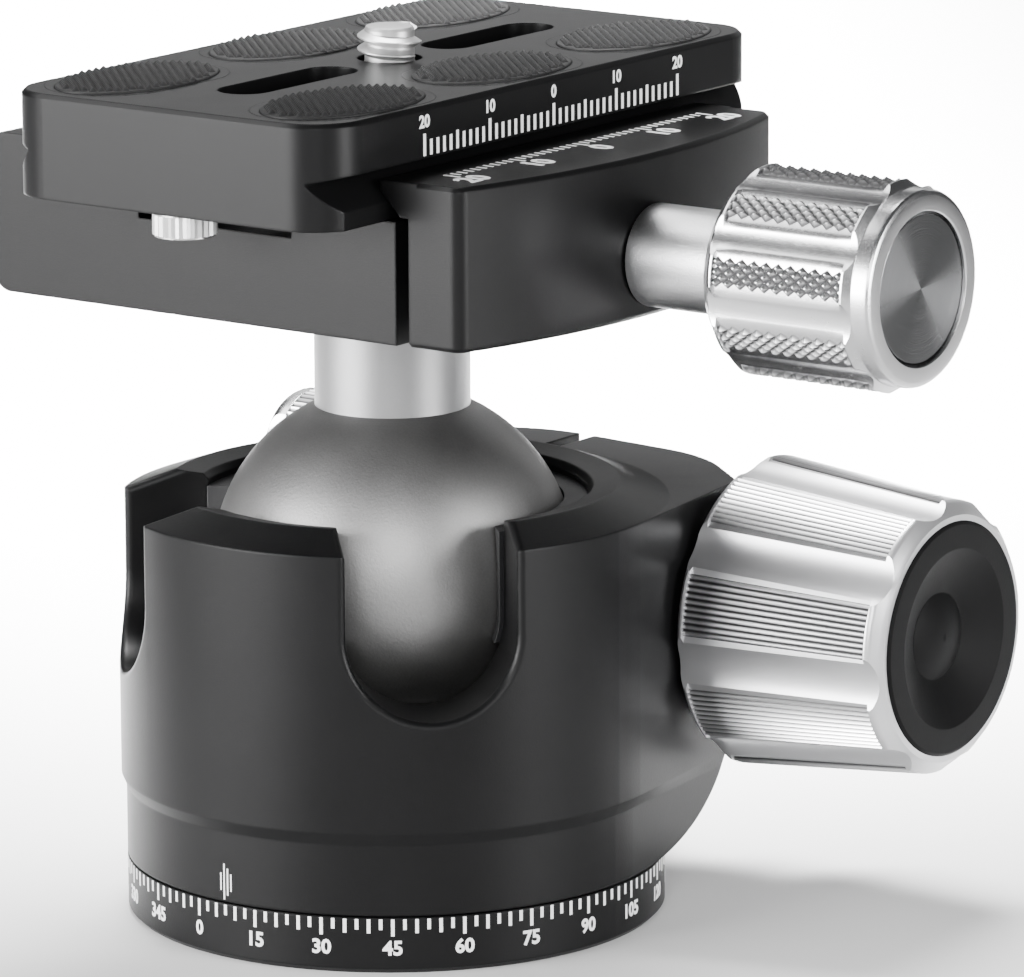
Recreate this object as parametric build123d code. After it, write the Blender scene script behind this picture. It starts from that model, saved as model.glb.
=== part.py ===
from build123d import *
import os
from math import atan2, cos, degrees, hypot, radians, sin, tan

# Tripod ball head with a screw clamp and a quick-release plate.
# Millimetres. +Z is up, the origin is the centre of the face that sits on the tripod.
# +X is the direction in which both knobs point, +Y is the length of the plate.

os.makedirs("parts", exist_ok=True)

# ---- clearances ------------------------------------------------------------------
shaft_fit = 0.05          # radial, a shaft that turns or slides in its bore
seat_fit = 0.02           # radial, a piece pressed or screwed into its seat
face_gap = 0.08           # between flat faces that slide past each other
ball_gap = 0.2            # between the ball and the pieces that hold it
head_room = 0.3           # radial, round the head of a loose screw
cut_over = 1.0            # how far a cutting tool runs past the face it cuts

# ---- ball and stem ---------------------------------------------------------------
ball_radius = 18.0
ball_bottom_room = 7.0    # from the pan plate up to the ball
stem_radius = 7.7
stem_seat_height = 15.2   # flat seat of the stem, above the ball's centre
stem_rise = 10.6          # from the top of the ball to the underside of the clamp
stem_pilot_radius = 5.0
stem_pilot_length = 7.0
stem_spigot_radius = 5.5
stem_spigot_length = 3.0
stem_screw_radius = 3.0
stem_screw_reach = 14.0   # thread length below the clamp
stem_screw_head = 5.4
stem_screw_head_height = 3.0
swivel_washer_thickness = 0.5
swivel_washer_inset = 0.4

# ---- base and pan bearing --------------------------------------------------------
base_height = 5.6
base_edge = 0.5
band_step = 0.5           # base and lower band are this much inside the housing
pan_gap = 0.2             # visible gap between the base and the housing
journal_inset = 7.3       # journal inside the ball bore
retainer_overhang = 3.0
retainer_thickness = 2.0
retainer_screw_radius = 1.2
retainer_screw_head = 2.2
retainer_screw_head_height = 1.2
retainer_screw_length = 4.0
retainer_screws = 3
bush_radius = 7.0
bush_flange = 1.6
bush_flange_thickness = 1.5
bush_slot_depth = 0.6
thread_radius = 4.7625    # 3/8 inch tripod thread
pan_washer_inset = 6.3    # washer inside the base's radius
pan_washer_width = 6.0
pan_washer_recess = 0.6
pan_plate_thickness = 3.7
pan_plate_rim = 3.0       # housing wall left outside the pan plate
pan_screws = 6
pan_screw_start = 30      # degrees, first screw
pan_screw_radius = 1.2
pan_screw_head = 2.1
pan_screw_head_height = 1.3
pan_screw_length = 7.0

# ---- housing ---------------------------------------------------------------------
sleeve_wall = 1.0
housing_wall = 8.0
band_height = 7.0         # plain lower band, above the pan gap
ledge_height = 1.2
rim_rise = 8.5            # crest of the rim above the ball's centre
rim_drop = 1.7            # from the crest down to the outer edge
rim_slope_width = 4.9
dish_depth = 0.5
bore_bevel = 0.6
notch_round = 0.6         # outer edges of the notches
notch_radius = 8.3
notch_depth = 9.6         # bottom of the notches below the ball's centre
notch_angles = (-45, -135)
slit_width = 2.0
slit_x = -1.0
slit_floor = 9.0          # above the underside of the housing
bolt_offset = 6.7         # pinch bolt axis outside the bore
bolt_drop = 6.1           # pinch bolt axis below the ball's centre
boss_face_inset = 1.3     # flat knob seat inside the housing's radius
boss_spigot_radius = 11.5
boss_spigot_length = 12.0
corner_radius = 3.9       # front corner of the boss, seen from above
corner_inset = 5.7        # its centre behind the knob seat
corner_back = 2.9         # and nearer the bore than the bolt
crown_radius = 16.5       # long back of the boss
crown_x = 8.0
crown_back = 9.0
lobe_radius = 14.5        # half of the boss beyond the slit
lobe_x = -3.0
lobe_back = 6.0
spot_margin = 0.8
flare_radius = 16.0       # rounded underside of the boss
flare_low_angle = 33.0    # degrees from level, where it leaves the band
flare_high_angle = 75.0

# ---- sleeve, cup and springs that hold the ball ------------------------------------
sleeve_fit = 0.3
sleeve_bottom_drop = 4.2
sleeve_top_rise = 6.8
sleeve_notch_inset = 0.5
cup_wall = 1.5
cup_low_angle = 22.0      # from straight down
cup_high_angle = 53.0
seat_hole_radius = 8.5
spring_wall = 0.5

# ---- pinch bolt and main knob ------------------------------------------------------
bolt_radius = 3.0
bolt_head_radius = 4.6
bolt_head_height = 3.0
bolt_head_x = -9.5        # face of the far lobe that the bolt head bears on
bolt_washer_thickness = 0.8
knob_washer_radius = 9.0
knob_washer_thickness = 0.5
knob_length = 22.4
knob_root_radius = 15.6
knob_end_radius = 13.5
knob_root_chamfer = 1.0
knob_end_chamfer = 1.2
knob_flutes = 8
knob_flute_start = 9.6    # degrees, first flute
flute_radius = 6.0
flute_depth = 0.9
insert_radius = 5.0
insert_length = 14.0
cap_radius = 11.7
cap_thickness = 2.6
cap_proud = 0.3
cap_dish_radius = 9.0
cap_dish_depth = 2.0
cap_button_radius = 4.35
cap_button_rise = 1.0

# ---- drag knob on the far side -----------------------------------------------------
drag_y_back = 2.0         # drag screw nearer the bore than the pinch bolt
drag_rise = 9.8           # above the pinch bolt
drag_knob_radius = 6.4
drag_knob_length = 13.4
drag_knob_round = 2.0
drag_knob_flutes = 4
drag_flute_start = 25.0   # degrees, first flute
drag_flute_radius = 7.0
drag_flute_depth = 0.7
drag_knob_gap = 0.6
drag_screw_radius = 2.0
drag_tip_length = 1.2
drag_knob_inset = 9.7     # knob's root inside the housing's radius

# ---- clamp -------------------------------------------------------------------------
clamp_length = 52.0       # along the plate
fixed_jaw_width = 9.2      # outside the plate
clamp_front_margin = 0.4   # clamp body past the plate on the moving jaw's side
bed_height = 11.8         # thickness of the clamp under the plate
jaw_rise = 3.9            # jaws stand above the bed
clamp_bottom_round = 2.0
clamp_top_round = 1.3
jaw_slit = 1.5
jaw_thickness = 5.8       # at the two ends of the moving jaw
jaw_bow = 4.1
jaw_corner_round = 1.5
jaw_edge_chamfer = 0.4
nose_gap = 1.7            # from the root of the plate's groove to the tip of a jaw's nose
nose_root_inset = 0.9     # flank ends this far inside the jaw's inner face
pocket_width = 18.5
pocket_depth = 2.8
pocket_length = 8.0
pocket_x = -1.5
pin_radius = 1.5
pin_spacing = 34.0
pin_depth = 9.0
pin_reach = 4.6
pin_spare = 0.6
spring_outer = 2.6
spring_pocket = 4.0

# ---- clamp screw and knob ------------------------------------------------------------
clamp_screw_radius = 2.8
clamp_screw_depth = 13.0
hub_radius = 5.0
hub_length = 11.4
clamp_knob_radius = 10.1
clamp_knob_length = 19.1
clamp_knob_rim_length = 1.9   # plain ring in front of the grip
clamp_knob_rim_step = 0.7     # ring smaller than the grip
clamp_knob_rim_round = 0.6
clamp_knob_root_chamfer = 1.6
clamp_knob_flutes = 9
clamp_flute_start = 2.0       # degrees, first flute
clamp_flute_radius = 4.6
clamp_flute_depth = 0.65
end_disc_radius = 7.2
end_disc_gap = 0.15
end_disc_edge = 0.2
end_disc_thickness = 1.5
end_disc_sunk = 0.25

# ---- quick-release plate ---------------------------------------------------------------
plate_length = 71.7
plate_width = 39.4
plate_thickness = 10.15
plate_corner = 5.4
plate_edge = 0.4
flange_inset = 0.5
flange_edge_height = 1.75
groove_depth = 3.1
groove_root = 0.2
groove_rise = 0.6
slot_length = 18.6
slot_width = 5.4
slot_centre = 16.2
slot_recess_width = 9.0
slot_recess_depth = 5.0
pad_length = 20.8
pad_width = 12.6
pad_spacing = 23.8
pad_row = 12.4
pad_sunk = 0.5
pad_proud = 0.5
camera_screw_radius = 3.15  # 1/4 inch camera thread
camera_shank_radius = 2.5   # relieved shank that keeps the screw captive
camera_screw_proud = 3.2
camera_screw_head = 7.0
camera_screw_head_height = 2.6
camera_recess_depth = 4.2
driver_slot_width = 1.4
driver_slot_depth = 1.2
camera_clip_radius = 5.0
camera_clip_thickness = 0.6
stop_screw_inset = 3.5    # stop screw axis from the end of the plate
stop_screw_head = 2.95
stop_screw_head_height = 2.4
stop_screw_radius = 1.5
stop_screw_thread = 4.5

# ---- heights and places that follow ------------------------------------------------------
side_x = plate_width / 2
root_x = side_x - groove_depth
flange_half_width = side_x - flange_inset
nose_tip_x = root_x + nose_gap
clamp_front_x = side_x + clamp_front_margin
clamp_back_x = -side_x - fixed_jaw_width
housing_bottom = base_height + pan_gap
pan_plate_top = housing_bottom + pan_plate_thickness
journal_top = pan_plate_top + face_gap
retainer_top = journal_top + retainer_thickness
ball_z = pan_plate_top + ball_bottom_room + ball_radius
bore_radius = ball_radius + sleeve_wall + sleeve_fit
housing_radius = bore_radius + housing_wall
base_radius = housing_radius - band_step
journal_radius = bore_radius - journal_inset
pan_washer_outer = base_radius - pan_washer_inset
pan_washer_inner = pan_washer_outer - pan_washer_width
ledge_z = housing_bottom + band_height
crest_z = ball_z + rim_rise
edge_z = crest_z - rim_drop
crest_radius = housing_radius - rim_slope_width
notch_axis_z = ball_z - notch_depth + notch_radius
bolt_y = bore_radius + bolt_offset
bolt_z = ball_z - bolt_drop
boss_face_x = housing_radius - boss_face_inset
drag_y = bolt_y - drag_y_back
drag_z = bolt_z + drag_rise
drag_knob_root_x = drag_knob_inset - housing_radius
drag_seat_x = drag_knob_root_x + drag_knob_gap
clamp_bottom = ball_z + ball_radius + stem_rise
bed_z = clamp_bottom + bed_height
jaw_top = bed_z + jaw_rise
screw_z = clamp_bottom + bed_height / 2
jaw_inner_x = clamp_front_x + jaw_slit
jaw_end_x = jaw_inner_x + jaw_thickness
jaw_face_x = jaw_end_x + jaw_bow
plate_bottom = bed_z + face_gap
plate_top = plate_bottom + plate_thickness
camera_recess_z = plate_bottom + camera_recess_depth
flank_sum = flange_half_width + plate_bottom + flange_edge_height
nose_sum = flank_sum + face_gap * 2


def tube(outer, inner, low, high):
    """Upright ring between two heights."""
    ring = Pos(0, 0, (low + high) / 2) * Cylinder(outer, high - low)
    return ring - Pos(0, 0, (low + high) / 2) * Cylinder(inner, high - low + cut_over)


def rod(radius, low, high):
    """Upright cylinder between two heights."""
    return Pos(0, 0, (low + high) / 2) * Cylinder(radius, high - low)


def turned(points):
    """Solid of revolution about local Z from (radius, height) points."""
    outline = Polyline(*[(r, 0, z) for r, z in points], close=True)
    return revolve(make_face(outline), axis=Axis.Z)


def block(x0, x1, y0, y1, z0, z1):
    """Box between two corners."""
    return Pos((x0 + x1) / 2, (y0 + y1) / 2, (z0 + z1) / 2) * Box(x1 - x0, y1 - y0, z1 - z0)


def along_x(x, y, z):
    """Frame whose local Z points along +X."""
    return Pos(x, y, z) * Rot(0, 90, 0)


def along_minus_x(x, y, z):
    """Frame whose local Z points along -X."""
    return Pos(x, y, z) * Rot(0, -90, 0)


def bore_x(radius, x0, x1, y, z):
    """Cylinder along X between two places."""
    return along_x((x0 + x1) / 2, y, z) * Cylinder(radius, x1 - x0)


def around(count, radius, piece, start=0.0):
    """Copies of a piece spaced evenly round the vertical axis."""
    turns = [start + 360 * i / count for i in range(count)]
    return [Rot(0, 0, turn) * Pos(radius, 0, 0) * piece for turn in turns]


def cap_screw(radius, head_radius, head_height, length):
    """Screw with its head above local Z = 0 and its shank below."""
    return rod(head_radius, 0, head_height) + rod(radius, -length, cut_over / 10)


def fluted(body, count, start, radius_low, radius_high, low, high, tool_radius, depth):
    """Scallops cut along a knob that may taper."""
    lean = degrees(atan2(radius_low - radius_high, high - low))
    middle = (radius_low + radius_high) / 2 + tool_radius - depth
    length = (high - low) * 2
    tool = Pos(0, 0, (low + high) / 2) * Rot(0, -lean, 0) * Cylinder(tool_radius, length)
    return body - around(count, middle, tool, start)


# ==== base and pan bearing ================================================================

pan_washer_low = base_height - pan_washer_recess
retainer_radius = journal_radius + retainer_overhang
retainer_screw_circle = (journal_radius + bush_radius + bush_flange) / 2
bush_top = journal_top - face_gap


def make_base_disc():
    disc = turned([
        (0, 0),
        (base_radius - base_edge, 0),
        (base_radius, base_edge),
        (base_radius, base_height),
        (journal_radius, base_height),
        (journal_radius, journal_top),
        (0, journal_top),
    ])
    disc -= rod(bush_radius + seat_fit, -cut_over, journal_top + cut_over)
    disc -= rod(bush_radius + bush_flange + seat_fit, -cut_over, bush_flange_thickness)
    disc -= tube(
        pan_washer_outer + seat_fit, pan_washer_inner - seat_fit, pan_washer_low, base_height + cut_over)
    drill = rod(
        retainer_screw_radius + seat_fit, journal_top - retainer_screw_length, journal_top + cut_over)
    return disc - around(retainer_screws, retainer_screw_circle, drill)


def make_tripod_bush():
    flange = bush_radius + bush_flange
    body = turned([
        (0, 0),
        (flange, 0),
        (flange, bush_flange_thickness - face_gap / 2),
        (bush_radius, bush_flange_thickness - face_gap / 2),
        (bush_radius, bush_top),
        (0, bush_top),
    ])
    body -= rod(thread_radius, -cut_over, bush_top + cut_over)
    key = block(
        -flange * 2, flange * 2, -driver_slot_width, driver_slot_width, -cut_over, bush_slot_depth)
    key -= rod(flange - bush_flange / 2, -cut_over * 2, driver_slot_depth)
    return body - key


def make_pan_washer():
    return tube(pan_washer_outer, pan_washer_inner, pan_washer_low, housing_bottom - face_gap)


def make_pan_retainer():
    plate = tube(retainer_radius, thread_radius + bush_flange, journal_top, retainer_top)
    drill = rod(retainer_screw_radius + seat_fit, journal_top - cut_over, retainer_top + cut_over)
    return plate - around(retainer_screws, retainer_screw_circle, drill)


def make_retainer_screws():
    reach = retainer_screw_length + retainer_thickness - face_gap
    screw = cap_screw(retainer_screw_radius, retainer_screw_head, retainer_screw_head_height, reach)
    return Compound(children=around(retainer_screws, retainer_screw_circle, Pos(0, 0, retainer_top) * screw))


pan_plate_radius = base_radius - pan_plate_rim
pan_screw_circle = (pan_plate_radius + bore_radius) / 2


def make_pan_plate():
    plate = tube(pan_plate_radius, journal_radius + shaft_fit, housing_bottom, pan_plate_top)
    drill = rod(pan_screw_radius + seat_fit, housing_bottom - cut_over, pan_plate_top + cut_over)
    sink = rod(pan_screw_head + seat_fit, housing_bottom - cut_over, housing_bottom + pan_screw_head_height)
    return plate - around(pan_screws, pan_screw_circle, drill + sink, pan_screw_start)


def make_pan_screws():
    screw = rod(pan_screw_head, housing_bottom + face_gap, housing_bottom + pan_screw_head_height)
    screw += rod(pan_screw_radius, housing_bottom + face_gap, housing_bottom + pan_screw_length)
    return Compound(children=around(pan_screws, pan_screw_circle, screw, pan_screw_start))


# ==== housing =============================================================================

boss_rounds = [
    (corner_radius, boss_face_x - corner_inset, bolt_y - corner_back),
    (crown_radius, crown_x, bolt_y - crown_back),
    (lobe_radius, lobe_x, bolt_y - lobe_back),
]


def housing_outline(radius):
    """Round body and the boss that grows out of it, seen from above."""
    rounds = [(Pos(x, y) * Circle(r)).edge() for r, x, y in boss_rounds]
    return make_hull([Circle(radius).edge()] + rounds)


def notch_tool(radius, inner):
    """U-shaped cutter along local X, open at the top."""
    reach = housing_radius * 2
    round_end = bore_x(radius, inner, reach, 0, notch_axis_z)
    return round_end + block(inner, reach, -radius, radius, notch_axis_z, crest_z + cut_over)


def make_housing_blank():
    """Lower band, a ledge that fades out along the boss, the wall and the sloping rim."""
    ledge_top = ledge_z + ledge_height
    low = housing_outline(base_radius)
    high = housing_outline(housing_radius)
    blank = extrude(Pos(0, 0, housing_bottom) * low, band_height)
    blank += loft([Pos(0, 0, ledge_z) * low, Pos(0, 0, ledge_top) * high], ruled=True)
    blank += extrude(Pos(0, 0, ledge_top) * high, edge_z - ledge_top)
    blank += turned([(0, edge_z), (housing_radius, edge_z), (crest_radius, crest_z), (0, crest_z)])
    return blank & make_flare()


def make_flare():
    """Space inside the rounded underside of the boss."""
    centre_r = base_radius - flare_radius * sin(radians(flare_low_angle))
    centre_z = housing_bottom + flare_radius * cos(radians(flare_low_angle))

    def on_round(angle):
        lean = radians(angle)
        return centre_r + flare_radius * sin(lean), 0, centre_z - flare_radius * cos(lean)

    low, high = on_round(flare_low_angle), on_round(flare_high_angle)
    middle = on_round((flare_low_angle + flare_high_angle) / 2)
    top = crest_z + cut_over
    far = high[0] + (top - high[2]) / tan(radians(flare_high_angle))
    section = [
        Line((0, 0, low[2]), low),
        ThreePointArc(low, middle, high),
        Line(high, (far, 0, top)),
        Line((far, 0, top), (0, 0, top)),
        Line((0, 0, top), (0, 0, low[2])),
    ]
    return revolve(make_face(section), axis=Axis.Z)


def notch_rims(body):
    """Edges where the two notches leave the side and the sloping top of the housing."""
    rims = []
    low = notch_axis_z - notch_radius - seat_fit
    for edge in body.edges():
        for angle in notch_angles:
            points = [(edge @ share).rotate(Axis.Z, -angle) for share in (0, 0.5, 1)]
            radii = [hypot(p.X, p.Y) for p in points]
            inside = all(p.X > 0 and abs(p.Y) < notch_radius + seat_fit and p.Z > low for p in points)
            if inside and min(radii) > crest_radius - seat_fit and max(radii) > housing_radius - seat_fit:
                rims.append(edge)
    return rims


def make_housing():
    body = make_housing_blank()
    body += bore_x(boss_spigot_radius, boss_face_x - boss_spigot_length, boss_face_x, bolt_y, bolt_z)
    # Ball bore, its bevel and the dished ring round it
    body -= turned([
        (0, housing_bottom - cut_over),
        (pan_plate_radius + seat_fit, housing_bottom - cut_over),
        (pan_plate_radius + seat_fit, pan_plate_top),
        (bore_radius, pan_plate_top),
        (bore_radius, crest_z - dish_depth - bore_bevel),
        (bore_radius + bore_bevel * 0.8, crest_z - dish_depth),
        (crest_radius, crest_z),
        (crest_radius, crest_z + cut_over),
        (0, crest_z + cut_over),
    ])
    for angle in notch_angles:
        body -= Rot(0, 0, angle) * notch_tool(notch_radius, 0)
    # Pinch slit and the two bolt lines that cross it
    far = housing_radius * 2
    body -= block(
        slit_x - slit_width / 2, slit_x + slit_width / 2,
        bore_radius - cut_over, far,
        housing_bottom + slit_floor, crest_z + cut_over,
    )
    body -= bore_x(bolt_radius + shaft_fit, -far, far, bolt_y, bolt_z)
    body -= bore_x(bolt_head_radius + spot_margin, -far, bolt_head_x, bolt_y, bolt_z)
    body -= bore_x(drag_screw_radius + shaft_fit, -far, slit_x, drag_y, drag_z)
    body -= bore_x(drag_knob_radius + spot_margin, -far, drag_seat_x, drag_y, drag_z)
    drill_top = housing_bottom + pan_screw_length + cut_over
    drill = rod(pan_screw_radius + seat_fit, pan_plate_top - cut_over, drill_top)
    body -= around(pan_screws, pan_screw_circle, drill, pan_screw_start)
    return fillet(notch_rims(body), notch_round)


# ==== pieces that hold the ball ===========================================================

sleeve_radius = bore_radius - seat_fit
ball_space = ball_radius + ball_gap
cup_outer = ball_space + cup_wall
seat_space = cup_outer + ball_gap


def make_ball_sleeve():
    low = ball_z - sleeve_bottom_drop
    high = ball_z + sleeve_top_rise
    sleeve = rod(sleeve_radius, low, high)
    sleeve -= Pos(0, 0, ball_z) * Sphere(ball_space)
    for angle in notch_angles:
        sleeve -= Rot(0, 0, angle) * notch_tool(notch_radius - sleeve_notch_inset, 0)
    return sleeve - block(
        slit_x - slit_width / 2, slit_x + slit_width / 2,
        0, sleeve_radius * 2, low - cut_over, high + cut_over,
    )


def polar(radius, angle):
    """Radius and height of a point on a sphere round the ball's centre, from straight down."""
    return radius * sin(radians(angle)), ball_z - radius * cos(radians(angle))


def make_seat_cup():
    middle = (cup_low_angle + cup_high_angle) / 2
    points = {}
    for name, radius in (("in", ball_space), ("out", cup_outer)):
        for angle in (cup_low_angle, middle, cup_high_angle):
            r, z = polar(radius, angle)
            points[name, angle] = (r, 0, z)
    inner = ThreePointArc(
        points["in", cup_low_angle], points["in", middle], points["in", cup_high_angle])
    outer = ThreePointArc(
        points["out", cup_low_angle], points["out", middle], points["out", cup_high_angle])
    low = Line(points["in", cup_low_angle], points["out", cup_low_angle])
    high = Line(points["in", cup_high_angle], points["out", cup_high_angle])
    return revolve(make_face([inner, high, outer, low]), axis=Axis.Z)


seat_bottom = retainer_top + retainer_screw_head_height + face_gap
seat_radius = bore_radius - shaft_fit
seat_rim_z = ball_z - seat_space * cos(radians(cup_high_angle - 2))


def make_lower_seat():
    ring = tube(seat_radius, seat_hole_radius, seat_bottom, seat_rim_z)
    return ring - Pos(0, 0, ball_z) * Sphere(seat_space)


def make_disc_springs():
    """Two conical rings, rim to rim, between the pan plate and the lower seat."""
    inner = retainer_radius + seat_fit + spring_wall
    outer = seat_radius - spring_wall
    low = pan_plate_top
    high = seat_bottom
    middle = (low + high) / 2
    cone = [(inner, low), (inner, low + spring_wall), (outer, middle), (outer, middle - spring_wall)]
    mirrored = [(r, low + high - z) for r, z in cone]
    return Compound(children=[turned(cone), turned(mirrored)])


# ==== ball and stem =======================================================================

stem_top = clamp_bottom - swivel_washer_thickness
seat_z = ball_z + stem_seat_height


def make_ball():
    ball = Pos(0, 0, ball_z) * Sphere(ball_radius)
    ball -= rod(stem_radius + seat_fit, seat_z, ball_z + ball_radius + cut_over)
    return ball - rod(stem_pilot_radius + seat_fit, seat_z - stem_pilot_length, seat_z + cut_over)


def make_stem():
    stem = rod(stem_radius, seat_z, stem_top)
    stem += rod(stem_pilot_radius, seat_z - stem_pilot_length + face_gap, seat_z + cut_over)
    stem += rod(stem_spigot_radius, stem_top - cut_over, clamp_bottom + stem_spigot_length)
    bottom = clamp_bottom - stem_screw_reach - face_gap
    return stem - rod(stem_screw_radius + shaft_fit, bottom, clamp_bottom + stem_spigot_length + cut_over)


def make_swivel_washer():
    outer = stem_radius - swivel_washer_inset
    return tube(outer, stem_spigot_radius + shaft_fit, stem_top, clamp_bottom - face_gap)


# ==== pinch bolt, main knob and drag knob ==================================================

knob_root_x = boss_face_x + knob_washer_thickness
knob_end_x = knob_root_x + knob_length
insert_bore = bolt_radius + shaft_fit
cap_floor = knob_length - cap_thickness + cap_proud


def make_pinch_bolt():
    head_low = bolt_head_x - bolt_washer_thickness - bolt_head_height
    head = along_x(head_low, bolt_y, bolt_z) * extrude(
        RegularPolygon(bolt_head_radius, 6), bolt_head_height)
    shank_end = knob_root_x + insert_length - face_gap
    return head + bore_x(bolt_radius, head_low + bolt_head_height / 2, shank_end, bolt_y, bolt_z)


def make_bolt_washer():
    washer = tube(bolt_head_radius, bolt_radius + seat_fit, 0, bolt_washer_thickness)
    return along_x(bolt_head_x - bolt_washer_thickness, bolt_y, bolt_z) * washer


def make_knob_washer():
    washer = tube(knob_washer_radius, bolt_radius + shaft_fit, 0, knob_washer_thickness - face_gap)
    return along_x(boss_face_x, bolt_y, bolt_z) * washer


def make_main_knob():
    knob = turned([
        (0, 0),
        (knob_root_radius - knob_root_chamfer, 0),
        (knob_root_radius, knob_root_chamfer),
        (knob_end_radius, knob_length - knob_end_chamfer),
        (knob_end_radius - knob_end_chamfer, knob_length),
        (0, knob_length),
    ])
    knob = fluted(
        knob, knob_flutes, knob_flute_start, knob_root_radius, knob_end_radius, 0, knob_length,
        flute_radius, flute_depth)
    knob -= rod(insert_radius + seat_fit, -cut_over, insert_length)
    knob -= rod(cap_radius + seat_fit, cap_floor, knob_length + cut_over)
    return along_x(knob_root_x, bolt_y, bolt_z) * knob


def make_knob_insert():
    insert = tube(insert_radius, insert_bore, 0, insert_length - seat_fit)
    return along_x(knob_root_x, bolt_y, bolt_z) * insert


def make_knob_cap():
    top = knob_length + cap_proud
    cap = turned([
        (0, cap_floor),
        (cap_radius, cap_floor),
        (cap_radius, top - cap_proud),
        (cap_radius - cap_proud, top),
        (cap_dish_radius, top),
        (cap_button_radius, top - cap_dish_depth),
        (0, top - cap_dish_depth),
    ])
    button = (cap_button_radius ** 2 + cap_button_rise ** 2) / (2 * cap_button_rise)
    crown = Pos(0, 0, top - cap_dish_depth + cap_button_rise - button) * Sphere(button)
    cap += crown & rod(cap_button_radius, cap_floor, top)
    return along_x(knob_root_x, bolt_y, bolt_z) * cap


def make_drag_knob():
    knob = turned([
        (0, 0),
        (drag_knob_radius - drag_knob_round / 2, 0),
        (drag_knob_radius, drag_knob_round / 2),
        (drag_knob_radius, drag_knob_length),
        (0, drag_knob_length),
    ])
    knob = fillet(knob.faces().sort_by(Axis.Z)[-1].edges(), drag_knob_round)
    knob = fluted(
        knob, drag_knob_flutes, drag_flute_start, drag_knob_radius, drag_knob_radius, 0,
        drag_knob_length, drag_flute_radius, drag_flute_depth)
    knob -= rod(drag_screw_radius + seat_fit, -cut_over, drag_knob_length / 2)
    return along_minus_x(drag_knob_root_x, drag_y, drag_z) * knob


drag_tip_x = slit_x - slit_width / 2 - face_gap


def make_drag_screw():
    start = drag_knob_root_x - drag_knob_length / 2 + face_gap
    return bore_x(drag_screw_radius, start, drag_tip_x - drag_tip_length, drag_y, drag_z)


def make_drag_tip():
    tip = drag_screw_radius - shaft_fit
    return bore_x(tip, drag_tip_x - drag_tip_length, drag_tip_x, drag_y, drag_z)


# ==== clamp ================================================================================

clamp_half = clamp_length / 2
nose_low_z = nose_sum - nose_tip_x
screw_bore = clamp_screw_radius + shaft_fit


def prism_y(points, half_length):
    """Section in X and Z, extruded both ways along Y."""
    outline = Polyline(*[(x, 0, z) for x, z in points], close=True)
    return extrude(make_face(outline), half_length, dir=(0, 1, 0), both=True)


def make_clamp_body():
    body = prism_y([
        (clamp_back_x, clamp_bottom),
        (clamp_front_x, clamp_bottom),
        (clamp_front_x, bed_z),
        (bed_z - nose_sum, bed_z),
        (-nose_tip_x, nose_low_z),
        (-nose_tip_x, jaw_top),
        (clamp_back_x, jaw_top),
    ], clamp_half)
    back_edges = body.edges().filter_by(Axis.Y).group_by(Axis.X)[0].sort_by(Axis.Z)
    body = fillet(back_edges[0], clamp_bottom_round)
    back_edges = body.edges().filter_by(Axis.Y).group_by(Axis.X)[0].sort_by(Axis.Z)
    body = fillet(back_edges[-1], clamp_top_round)
    for side in (-1, 1):
        outer = side * (clamp_half + cut_over)
        inner = side * (clamp_half - pocket_length)
        body -= block(
            pocket_x - pocket_width / 2, pocket_x + pocket_width / 2,
            min(outer, inner), max(outer, inner), bed_z - pocket_depth, bed_z + cut_over)
        pin_y = side * pin_spacing / 2
        body -= bore_x(pin_radius + seat_fit, clamp_front_x - pin_depth, jaw_inner_x, pin_y, screw_z)
        body -= bore_x(
            spring_outer + shaft_fit, clamp_front_x - spring_pocket, jaw_inner_x, pin_y, screw_z)
    spigot_top = clamp_bottom + stem_spigot_length + face_gap
    body -= rod(stem_spigot_radius + shaft_fit, clamp_bottom - cut_over, spigot_top)
    body -= rod(stem_screw_radius + seat_fit, clamp_bottom, bed_z)
    body -= rod(stem_screw_head + seat_fit, head_seat_z, bed_z + cut_over)
    return body - bore_x(
        screw_bore, clamp_front_x - clamp_screw_depth - face_gap, jaw_inner_x, 0, screw_z)


head_seat_z = clamp_bottom + stem_spigot_length + 2 * stem_screw_head_height / 3 + face_gap


def make_stem_screw():
    screw = rod(stem_screw_radius, clamp_bottom - stem_screw_reach, head_seat_z + cut_over)
    screw += rod(stem_screw_head, head_seat_z, head_seat_z + stem_screw_head_height)
    socket = extrude(RegularPolygon(stem_screw_radius * 0.9, 6), stem_screw_head_height)
    return screw - Pos(0, 0, head_seat_z + stem_screw_head_height / 3) * socket


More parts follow.
